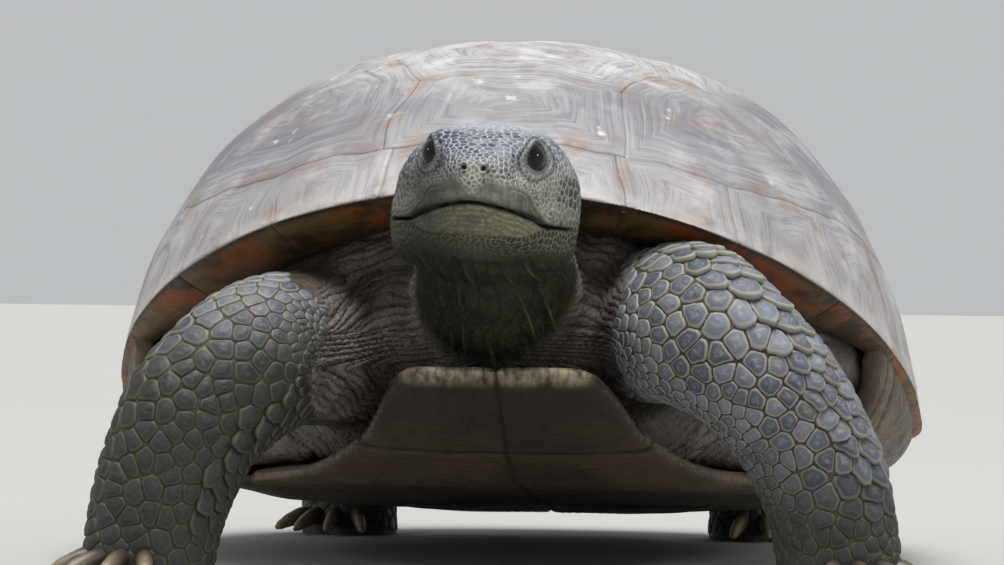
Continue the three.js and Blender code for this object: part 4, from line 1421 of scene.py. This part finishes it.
def plastron(material):
    pieces = [(points, outward(points - points.mean(0), faces), {})
              for points, faces in (plastron_plate(), bridge(1), bridge(-1))]
    points, faces, _ = joined_pieces(pieces)
    piece = make_object("plastron_horn", points, faces, material)
    apply_modifier(piece, "REMESH", mode="VOXEL", voxel_size=0.00125)
    drop_specks(piece)
    set_places(piece, relaxed(places_of(piece), edges_of(piece), 5))
    level = places_of(piece)
    apart = seam_distance(level)
    ring = apart / 2.3 + 1.1 * waves(level, 26, 302, 3)
    relief = 0.08 * np.cos(2 * np.pi * ring) * smooth(0.8, 2.5, apart) * smooth(26, 6, apart)
    relief = relief - 0.75 * np.exp(-((apart / 0.75) ** 2)) + 0.1 * waves(level, 7, 303, 3)
    down = np.abs(normals_of(piece)[:, 2]) > 0.25
    push(piece, relief * np.where(down, 1, 0.35))
    set_places(piece, stand(places_of(piece)))
    set_attribute(piece, "apart", apart)
    set_attribute(piece, "phase", ring)
    # front: mask of the painted shade on the plastron's front part
    set_attribute(piece, "front", smooth(-90, -140, level[:, 1]))
    set_attribute(piece, "lip", smooth(-143, -149, level[:, 1]))
    plates = [n for n in frame["nodes"] if n.split("_")[0] in PLASTRON_KINDS]
    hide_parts(*plates)


PLASTRON_KINDS = ("gular", "humeral", "pectoral", "abdominal", "femoral", "anal")


# ---------------------------------------------------------------- material helpers

class Nodes:
    """Short ways to wire one material's nodes."""

    def __init__(self, name, roughness):
        self.material = bpy.data.materials.new(name)
        self.material.use_nodes = True
        self.tree = self.material.node_tree
        self.shader = self.tree.nodes["Principled BSDF"]
        self.shader.inputs["Roughness"].default_value = roughness
        self.where = self.add("ShaderNodeTexCoord").outputs["Object"]

    def add(self, kind, **settings):
        node = self.tree.nodes.new(kind)
        for key, value in settings.items():
            setattr(node, key, value)
        return node

    def link(self, source, socket):
        if isinstance(source, (int, float, tuple)):
            socket.default_value = source
        else:
            self.tree.links.new(source, socket)

    def attribute(self, name):
        return self.add("ShaderNodeAttribute", attribute_name=name).outputs["Fac"]

    def math(self, operation, a, b=0.0, c=0.0):
        node = self.add("ShaderNodeMath", operation=operation)
        for socket, source in zip(node.inputs, (a, b, c)):
            self.link(source, socket)
        return node.outputs[0]

    def span(self, value, low, high, to_low=0.0, to_high=1.0):
        node = self.add("ShaderNodeMapRange", interpolation_type="SMOOTHSTEP")
        for socket, source in zip(node.inputs, (value, low, high, to_low, to_high)):
            self.link(source, socket)
        return node.outputs[0]

    def vector(self, x, y, z):
        node = self.add("ShaderNodeCombineXYZ")
        for socket, source in zip(node.inputs, (x, y, z)):
            self.link(source, socket)
        return node.outputs[0]

    def height(self):
        """Height over the row's origin in mm."""
        node = self.add("ShaderNodeSeparateXYZ")
        self.link(self.where, node.inputs[0])
        return self.math("MULTIPLY", node.outputs[2], 1000.0)

    def noise(self, per_mm, detail=4.0, roughness=0.55, squash=None):
        """Noise with per_mm features to the millimetre."""
        where = self.where
        if squash:
            scaled = self.add("ShaderNodeVectorMath", operation="MULTIPLY")
            self.link(where, scaled.inputs[0])
            scaled.inputs[1].default_value = squash
            where = scaled.outputs[0]
        return self.noise_at(where, per_mm * 1000, detail, roughness)

    def noise_at(self, where, scale, detail, roughness):
        node = self.add("ShaderNodeTexNoise")
        self.link(where, node.inputs["Vector"])
        node.inputs["Scale"].default_value = scale
        node.inputs["Detail"].default_value = detail
        node.inputs["Roughness"].default_value = roughness
        return node.outputs["Fac"]

    def mix(self, share, a, b, blend="MIX"):
        node = self.add("ShaderNodeMix", data_type="RGBA", blend_type=blend)
        self.link(share, node.inputs[0])
        self.link(a, node.inputs[6])
        self.link(b, node.inputs[7])
        return node.outputs[2]

    def bump(self, height, strength, distance_mm, under=None):
        node = self.add("ShaderNodeBump")
        node.inputs["Strength"].default_value = strength
        node.inputs["Distance"].default_value = distance_mm / 1000
        self.link(height, node.inputs["Height"])
        if under:
            self.link(under, node.inputs["Normal"])
        return node.outputs["Normal"]

    def finish(self, colour, roughness=None, normal=None):
        self.link(colour, self.shader.inputs["Base Color"])
        if roughness is not None:
            self.link(roughness, self.shader.inputs["Roughness"])
        if normal is not None:
            self.link(normal, self.shader.inputs["Normal"])
        return self.material


def rgb(red, green, blue):
    """A colour as seen on a screen, from 0 to 255, for the shader's linear scale."""
    return tuple((v / 255 / 12.92) if v < 10 else ((v / 255 + 0.055) / 1.055) ** 2.4
                 for v in (red, green, blue)) + (1.0,)


def horn_material():
    """Old grey horn: streaks drawn out along the growth rings, brown stains, and a painted sheen that makes it paler
    towards the top.
    """
    n = Nodes("carapace horn", 0.5)
    phase, seam, share, w, tone = (n.attribute(a) for a in ("phase", "from_seam", "share", "w", "tone"))
    turn_x, turn_y = n.attribute("turn_x"), n.attribute("turn_y")

    def drawn_out(rate, length, seed):
        """Noise with rate features to a ring, long along the ring."""
        across = n.math("MULTIPLY_ADD", phase, rate, n.math("MULTIPLY_ADD", tone, 40.0, seed))
        where = n.vector(across, n.math("MULTIPLY", turn_x, length), n.math("MULTIPLY", turn_y, length))
        return n.noise_at(where, 1.0, 4.0, 0.6)

    coarse = drawn_out(0.85, 0.024, 0.0)
    fine = drawn_out(2.4, 0.04, 90.0)
    broad = n.noise(0.024, 3)
    blotch = n.noise(0.09, 5, 0.6)
    patch = n.noise(0.06, 3)
    # top: height on the shell, the mask of the painted sheen on its upper part
    top = n.span(n.height(), 114.0, 127.0)
    side = n.span(w, 0.7, 0.82)
    light = n.mix(side, rgb(140, 138, 139), rgb(165, 162, 161))
    colour = n.mix(n.span(broad, 0.35, 0.65), light, n.mix(side, rgb(116, 115, 119), rgb(140, 138, 140)))
    # painted sheen: paler towards the top of the shell
    colour = n.mix(n.math("MULTIPLY", top, 0.55), colour, rgb(196, 194, 192))
    belt = n.math("MULTIPLY", n.span(n.height(), 90.0, 104.0), n.span(n.height(), 123.0, 110.0))
    belt = n.math("MULTIPLY", belt, n.span(n.noise(0.045, 4), 0.36, 0.56, 0.08, 0.5))
    colour = n.mix(belt, colour, rgb(104, 105, 113))
    colour = n.mix(n.math("MULTIPLY", n.span(blotch, 0.5, 0.7), 0.5), colour, rgb(124, 105, 92))
    inner = n.math("MULTIPLY", n.span(share, 0.6, 0.1), n.span(blotch, 0.35, 0.6))
    colour = n.mix(n.math("MULTIPLY", inner, 0.3), colour, rgb(126, 106, 92))
    grown = n.span(share, 0.1, 0.45, 0.2, 1.0)
    blue = n.math("MULTIPLY", n.span(coarse, 0.5, 0.63), n.math("MULTIPLY", grown, n.span(patch, 0.35, 0.6, 0.2, 0.62)))
    colour = n.mix(blue, colour, rgb(98, 102, 112))
    colour = n.mix(n.math("MULTIPLY", n.span(coarse, 0.46, 0.36), 0.2), colour, rgb(184, 182, 179))
    dark = n.math("MULTIPLY", n.span(fine, 0.53, 0.64), n.math("MULTIPLY", grown, n.span(patch, 0.6, 0.4, 0.16, 0.5)))
    colour = n.mix(dark, colour, rgb(92, 88, 90))
    colour = n.mix(n.math("MULTIPLY", n.span(fine, 0.45, 0.35), 0.16), colour, rgb(188, 185, 182))
    part = n.math("FRACT", phase)
    line = n.math("MAXIMUM", n.span(part, 0.14, 0.0), n.span(part, 0.9, 1.0))
    line = n.math("MULTIPLY", line, n.span(n.noise(0.13, 3), 0.4, 0.65))
    colour = n.mix(n.math("MULTIPLY", line, 0.2), colour, rgb(84, 80, 80))
    # painted sheen: pale patches, more of them towards the top of the shell
    pale = n.math("MULTIPLY", n.span(n.noise(0.08, 4), 0.52, 0.7), n.span(top, 0.0, 1.0, 0.22, 0.6))
    colour = n.mix(pale, colour, rgb(206, 204, 202))
    speck = n.math("MULTIPLY", n.span(n.noise(0.13, 4), 0.66, 0.76), 0.6)
    colour = n.mix(speck, colour, rgb(224, 222, 220))
    rim = n.math("MULTIPLY", n.span(w, 0.95, 0.995), n.span(w, 1.012, 1.004))
    rim = n.math("MULTIPLY", rim, n.span(n.noise(0.15, 4), 0.3, 0.55))
    colour = n.mix(n.math("MULTIPLY", rim, 0.45), colour, rgb(190, 183, 174))
    under = n.span(w, 1.004, 1.012)
    amber = n.mix(n.span(n.noise(0.08, 5, 0.65), 0.42, 0.62), rgb(126, 70, 26), rgb(48, 33, 18))
    amber = n.mix(n.span(n.noise(0.05, 3), 0.5, 0.66), amber, rgb(96, 80, 48))
    edge = n.mix(n.span(w, 1.012, 1.03), rgb(40, 28, 20), amber)
    deep = n.mix(n.span(w, 1.05, 1.095), edge, rgb(40, 30, 18))
    colour = n.mix(under, colour, deep)
    join = n.math("MULTIPLY", n.span(seam, 0.7, 0.1), n.span(under, 0.0, 1.0, 0.06, 0.6))
    colour = n.mix(join, colour, rgb(70, 60, 52))
    stain = n.math("MULTIPLY", n.span(seam, 5.0, 0.5), n.span(blotch, 0.42, 0.62))
    colour = n.mix(n.math("MULTIPLY", stain, n.span(under, 0.0, 1.0, 0.5, 0.2)), colour, rgb(128, 104, 82))
    rough = n.span(n.noise(0.5, 4), 0.3, 0.7, 0.4, 0.64)
    grain = n.bump(n.noise(2.4, 4, 0.6), 0.35, 0.08)
    return n.finish(colour, rough, n.bump(fine, 0.3, 0.25, grain))


def skin_material():
    """Slate scales in cream seams on the head, a dark yellow-green throat and chin deepened by painted shade, dark
    folded skin on neck and shoulders with painted shade in the folds, painted shade on the snout's right side and in
    its hollows, and a painted highlight on the crown.
    """
    n = Nodes("tortoise skin", 0.6)
    names = ("seam", "tone", "horn", "lid", "face", "throat", "crease", "fold", "over", "above", "plated", "pleat",
             "hollow_shade", "snout_side_shade")
    seam, tone, horn, lid, face, throat, crease, fold, over, above, plated, pleat, hollow_shade, snout_side_shade = map(
        n.attribute, names)
    broad = n.noise(0.08, 3)
    patch = n.noise(0.2, 4, 0.6)
    fine = n.noise(1.1, 4, 0.65)
    crown = n.span(above, 2.0, 9.0)
    slate = n.mix(crown, rgb(58, 61, 60), rgb(48, 56, 78))
    cell = n.mix(n.span(tone, 0.1, 0.9), slate, n.mix(crown, rgb(112, 113, 107), rgb(112, 115, 120)))
    faded = n.math("MULTIPLY", n.span(patch, 0.42, 0.62), 0.6)
    worn = n.mix(crown, rgb(142, 141, 131), rgb(148, 151, 156))
    cell = n.mix(faded, cell, n.mix(n.span(tone, 0.1, 0.5), rgb(72, 79, 91), worn))
    # darker below the mouth: the chin's own darker colour deepened by painted shade under the head, and the seams' net
    # darkened down the jaw the same way
    low = n.span(above, -3.0, -9.0)
    cell = n.mix(n.math("MULTIPLY", low, 0.9), cell, rgb(17, 18, 11))
    jaw = n.mix(n.span(above, -16.0, -9.0), rgb(66, 66, 47), rgb(136, 134, 104))
    net = n.mix(low, n.mix(crown, rgb(184, 181, 166), rgb(186, 188, 192)), jaw)
    head = n.mix(n.math("MULTIPLY", seam, 0.9), cell, net)
    # painted highlight: paler on the top of the head
    head = n.mix(n.math("MULTIPLY", n.span(above, 12.0, 14.5), 0.4), head, rgb(186, 190, 196))
    around = n.span(n.noise(0.9, 3, 0.6, (1.0, 1.0, 0.25)), 0.35, 0.65)
    upper = n.mix(around, rgb(80, 82, 74), rgb(104, 102, 89))
    waver = n.math("MULTIPLY_ADD", n.noise(0.14, 3), 2.6, n.math("MULTIPLY", over, 0.9))
    grown = n.math("SINE", n.math("MULTIPLY", waver, 6.283))
    ribbed = n.math("MULTIPLY", n.span(grown, -0.7, 0.9), n.span(fine, 0.3, 0.65))
    lower = n.mix(ribbed, rgb(104, 104, 82), rgb(134, 131, 103))
    beak = n.mix(n.span(over, -0.3, 0.3), lower, upper)
    beak = n.mix(n.math("MULTIPLY", seam, 0.3), beak, net)
    beak = n.mix(n.math("MULTIPLY", n.span(n.noise(0.12, 3), 0.5, 0.66), 0.5), beak, rgb(54, 64, 68))
    head = n.mix(horn, head, beak)
    head = n.mix(n.math("MULTIPLY", lid, 0.55), head, rgb(112, 113, 110))
    # the throat's own dark yellow-green, deepened by painted shade under the head
    throat_tone_and_shade = n.mix(n.span(patch, 0.35, 0.65), rgb(11, 12, 4), rgb(42, 41, 19))
    throat_tone_and_shade = n.mix(n.math("MULTIPLY", seam, 0.3), throat_tone_and_shade, rgb(46, 46, 30))
    # painted shade in the valleys of the throat's pleats and wrinkles
    throat_tone_and_shade = n.mix(n.math("MULTIPLY", n.span(pleat, 0.3, 0.9), 0.7), throat_tone_and_shade, rgb(12, 12, 7))
    throat_tone_and_shade = n.mix(n.math("MULTIPLY", crease, 0.6), throat_tone_and_shade, rgb(98, 95, 68))
    head = n.mix(throat, head, throat_tone_and_shade)
    # painted shade on the animal's right side of the snout and lower face
    head = n.mix(n.math("MULTIPLY", snout_side_shade, 0.85), head, rgb(100, 112, 112), "MULTIPLY")
    # painted shade in the nostrils, the mouth slit and round the eyes
    head = n.mix(n.math("MULTIPLY", hollow_shade, 0.92), head, rgb(20, 17, 15))
    bare = n.mix(n.span(broad, 0.35, 0.65), rgb(124, 116, 110), rgb(84, 77, 73))
    bare = n.mix(n.math("MULTIPLY", seam, 0.35), bare, rgb(52, 45, 40))
    bare = n.mix(n.math("MULTIPLY", n.span(fine, 0.5, 0.8), 0.4), bare, rgb(114, 112, 104))
    # painted shade in the valleys of the neck and shoulder folds
    bare = n.mix(n.math("MULTIPLY", n.span(fold, 0.3, 0.9), 0.85), bare, rgb(20, 19, 17))
    under = n.mix(n.span(patch, 0.35, 0.65), rgb(82, 75, 68), rgb(60, 54, 49))
    bare = n.mix(plated, bare, under)
    colour = n.mix(face, bare, head)
    colour = n.mix(n.math("MULTIPLY", n.span(fine, 0.35, 0.6, 0.35, 0.0), 1.0), colour, rgb(54, 50, 46))
    n.shader.inputs["Specular IOR Level"].default_value = 0.25
    rough = n.span(n.noise(0.7, 4), 0.3, 0.7, 0.46, 0.7)
    grain = n.bump(n.noise(3.2, 4, 0.6), 0.4, 0.06)
    pores = n.bump(n.noise(1.3, 3, 0.6), 0.5, 0.16, grain)
    return n.finish(colour, rough, pores)


def eye_material():
    """Nearly black wet eyes: round pupil, dark brown iris, darker white round it."""
    n = Nodes("eye", 0.07)
    gaze = n.attribute("gaze")
    spokes = n.noise(1.6, 3, 0.6)
    iris = n.mix(n.span(spokes, 0.35, 0.65), rgb(7, 6, 6), rgb(19, 14, 11))
    iris = n.mix(n.span(gaze, 0.42, 0.56), iris, rgb(8, 7, 7))
    iris = n.mix(n.span(gaze, 0.62, 0.7), iris, rgb(24, 21, 20))
    colour = n.mix(n.span(gaze, 0.26, 0.3), rgb(6, 5, 5), iris)
    n.shader.inputs["Specular IOR Level"].default_value = 0.3
    rough = n.span(n.noise(0.8, 2), 0.3, 0.7, 0.05, 0.11)
    return n.finish(colour, rough)


def scale_material():
    """Slate plates with fine growth lines, tan at their feet, paler on top from wear and painted highlight, and darker
    low on the legs as painted shade.
    """
    n = Nodes("limb scales", 0.55)
    ring, tone, low = (n.attribute(a) for a in ("ring", "tone", "low"))
    patch = n.noise(0.16, 4, 0.6)
    fine = n.noise(1.3, 4, 0.65)
    base = n.mix(n.span(tone, 0.0, 1.0), rgb(62, 67, 78), rgb(105, 110, 117))
    base = n.mix(n.math("MULTIPLY", n.span(patch, 0.5, 0.72), 0.4), base, rgb(116, 108, 94))
    # painted shade: the plates, their lines, pale middles and tan edges turn darker low on the legs
    base = n.mix(n.math("MULTIPLY", low, 0.9), base, rgb(18, 20, 13))
    wobble = n.math("MULTIPLY_ADD", ring, 6.5, n.math("MULTIPLY", n.noise(0.5, 3), 0.9))
    line = n.span(n.math("FRACT", wobble), 0.3, 0.0)
    base = n.mix(n.math("MULTIPLY", line, 0.35), base, n.mix(low, rgb(50, 48, 52), rgb(66, 63, 48)))
    # paler middles of the plates: part wear, part painted highlight
    worn = n.math("MULTIPLY", n.span(ring, 0.75, 0.2), n.span(fine, 0.4, 0.7))
    base = n.mix(n.math("MULTIPLY", worn, 0.4), base, n.mix(low, rgb(160, 163, 166), rgb(56, 58, 49)))
    edge = n.span(ring, 0.72, 0.92)
    base = n.mix(n.math("MULTIPLY", edge, 0.65), base, n.mix(low, rgb(155, 151, 137), rgb(79, 78, 57)))
    base = n.mix(n.span(ring, 1.02, 1.12), base, rgb(50, 45, 40))
    rough = n.span(n.noise(0.7, 4), 0.3, 0.7, 0.44, 0.66)
    grain = n.bump(n.noise(2.6, 4, 0.6), 0.4, 0.07)
    return n.finish(base, rough, n.bump(line, 0.5, -0.08, grain))


def claw_material():
    """Dark horn, paler and worn towards the tip, with lines along it."""
    n = Nodes("claw horn", 0.4)
    out = n.attribute("out")
    streak = n.noise(1.2, 3, 0.6)
    base = n.mix(n.span(out, 0.3, 0.95), rgb(58, 50, 44), rgb(128, 112, 90))
    base = n.mix(n.math("MULTIPLY", n.span(streak, 0.5, 0.7), 0.4), base, rgb(40, 34, 30))
    rough = n.span(n.noise(0.7, 4), 0.3, 0.7, 0.32, 0.5)
    return n.finish(base, rough, n.bump(streak, 0.4, 0.1))


def plastron_material():
    """Dark brown horn underneath with painted shade on its front part, tan on the worn front lip, with growth lines and
    dark seams.
    """
    n = Nodes("plastron horn", 0.5)
    apart, phase, front, lip = (n.attribute(a) for a in ("apart", "phase", "front", "lip"))
    broad = n.noise(0.04, 4)
    grain = n.noise(0.35, 5, 0.65, (1.0, 0.22, 0.6))
    base = n.mix(n.span(broad, 0.38, 0.62), rgb(92, 76, 54), rgb(62, 50, 38))
    base = n.mix(n.math("MULTIPLY", n.span(n.noise(0.09, 5, 0.6), 0.55, 0.75), 0.5), base, rgb(128, 108, 76))
    # painted shade on the front part of the plastron
    base = n.mix(n.math("MULTIPLY", front, 0.9), base, rgb(36, 33, 27))
    base = n.mix(n.math("MULTIPLY", n.span(grain, 0.5, 0.7), 0.5), base, rgb(36, 30, 25))
    base = n.mix(n.math("MULTIPLY", lip, n.span(grain, 0.7, 0.3)), base, rgb(176, 162, 134))
    line = n.span(n.math("FRACT", phase), 0.2, 0.0)
    base = n.mix(n.math("MULTIPLY", line, 0.3), base, rgb(38, 31, 24))
    base = n.mix(n.math("MULTIPLY", n.span(apart, 1.0, 0.2), 0.85), base, rgb(26, 21, 17))
    rough = n.span(n.noise(0.5, 4), 0.3, 0.7, 0.4, 0.62)
    fine = n.bump(n.noise(1.8, 4, 0.6), 0.4, 0.1)
    return n.finish(base, rough, n.bump(grain, 0.4, 0.25, fine))


# ---------------------------------------------------------------- camera, light and floor

PICTURE_WIDTH, PICTURE_HEIGHT = 1004, 565
FOCAL_PIXELS = 4583
CAMERA_DISTANCE, CAMERA_HEIGHT, CAMERA_SIDE = 1200, 67, -6.29
CAMERA_AZIMUTH = math.radians(4.82)
CAMERA_PITCH = math.radians(0.22)
CAMERA_ROLL = math.radians(0.712)


def add_camera():
    data = bpy.data.cameras.new("camera")
    data.sensor_width = 36
    data.lens = FOCAL_PIXELS * data.sensor_width / PICTURE_WIDTH
    data.clip_start, data.clip_end = 0.05, 60
    camera = bpy.data.objects.new("camera", data)
    bpy.context.scene.collection.objects.link(camera)
    sa, ca = math.sin(CAMERA_AZIMUTH), math.cos(CAMERA_AZIMUTH)
    sp, cp = math.sin(CAMERA_PITCH), math.cos(CAMERA_PITCH)
    place = to_row([CAMERA_DISTANCE * sa + CAMERA_SIDE, -CAMERA_DISTANCE * ca, CAMERA_HEIGHT])
    ahead = Vector((-sa * cp, ca * cp, sp))
    right = ahead.cross(Vector((0, 0, 1))).normalized()
    up = right.cross(ahead)
    c, s = math.cos(CAMERA_ROLL), math.sin(CAMERA_ROLL)
    right, up = right * c + up * s, up * c - right * s
    turn = Matrix((right, up, -ahead)).transposed().to_4x4()
    camera.matrix_world = Matrix.Translation(Vector(place)) @ turn
    bpy.context.scene.camera = camera


def aim(data, place, target):
    light = bpy.data.objects.new(data.name, data)
    bpy.context.scene.collection.objects.link(light)
    ray = Vector(target) - Vector(place)
    light.matrix_world = Matrix.Translation(Vector(place)) @ ray.to_track_quat("-Z", "Y").to_matrix().to_4x4()


def add_area(name, place, target, size, power):
    data = bpy.data.lights.new(name, "AREA")
    data.shape = "DISK"
    data.size = size
    data.energy = power
    aim(data, place, target)


def add_stage():
    """A wide pale floor under a pale sky, a wide soft light above and weak ones in front and beside."""
    mesh = bpy.data.meshes.new("floor")
    reach = 30
    mesh.from_pydata([(-reach, -reach, 0), (reach, -reach, 0), (reach, reach, 0), (-reach, reach, 0)], [],
                     [(0, 1, 2, 3)])
    floor = bpy.data.objects.new("floor", mesh)
    bpy.context.scene.collection.objects.link(floor)
    n = Nodes("floor", 0.85)
    speck = n.noise(0.002, 3)
    mesh.materials.append(n.finish(n.mix(n.span(speck, 0.3, 0.7), rgb(167, 166, 163), rgb(169, 168, 165))))
    world = bpy.data.worlds.new("world")
    bpy.context.scene.world = world
    world.use_nodes = True
    background = world.node_tree.nodes["Background"]
    background.inputs["Color"].default_value = (0.80, 0.82, 0.84, 1)
    background.inputs["Strength"].default_value = 0.62
    overhead = bpy.data.lights.new("overhead", "SUN")
    overhead.energy = 3.9
    overhead.angle = math.radians(44)
    aim(overhead, (0.06, -0.3, 1.5), (0, 0, 0))
    add_area("left", (1.2, -0.4, 0.62), (0, -0.16, 0.1), 0.26, 2.4)
    add_area("right", (-1.2, -0.4, 0.62), (0, -0.16, 0.1), 0.16, 0.9)
    add_area("front", (0.5, -1.6, 0.75), (0, -0.1, 0.07), 0.9, 2)
    view = bpy.context.scene.view_settings
    view.view_transform = "Standard"
    view.look = "None"


# ---------------------------------------------------------------- the model

add_camera()
add_stage()
carapace(horn_material())
skin = skin_base()
sculpt(skin)
skin.data.materials.append(skin_material())
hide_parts("trunk", "head", "neck", "tail", "leg_front_left", "leg_front_right", "leg_hind_left",
            "leg_hind_right")
eyes(eye_material())
all_scales(skin, scale_material())
claws(claw_material())
plastron(plastron_material())

for piece in [o for o in bpy.context.scene.objects if o.type == "MESH" and "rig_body" not in o]:
    if piece.name != "floor":
        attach(piece, "root")
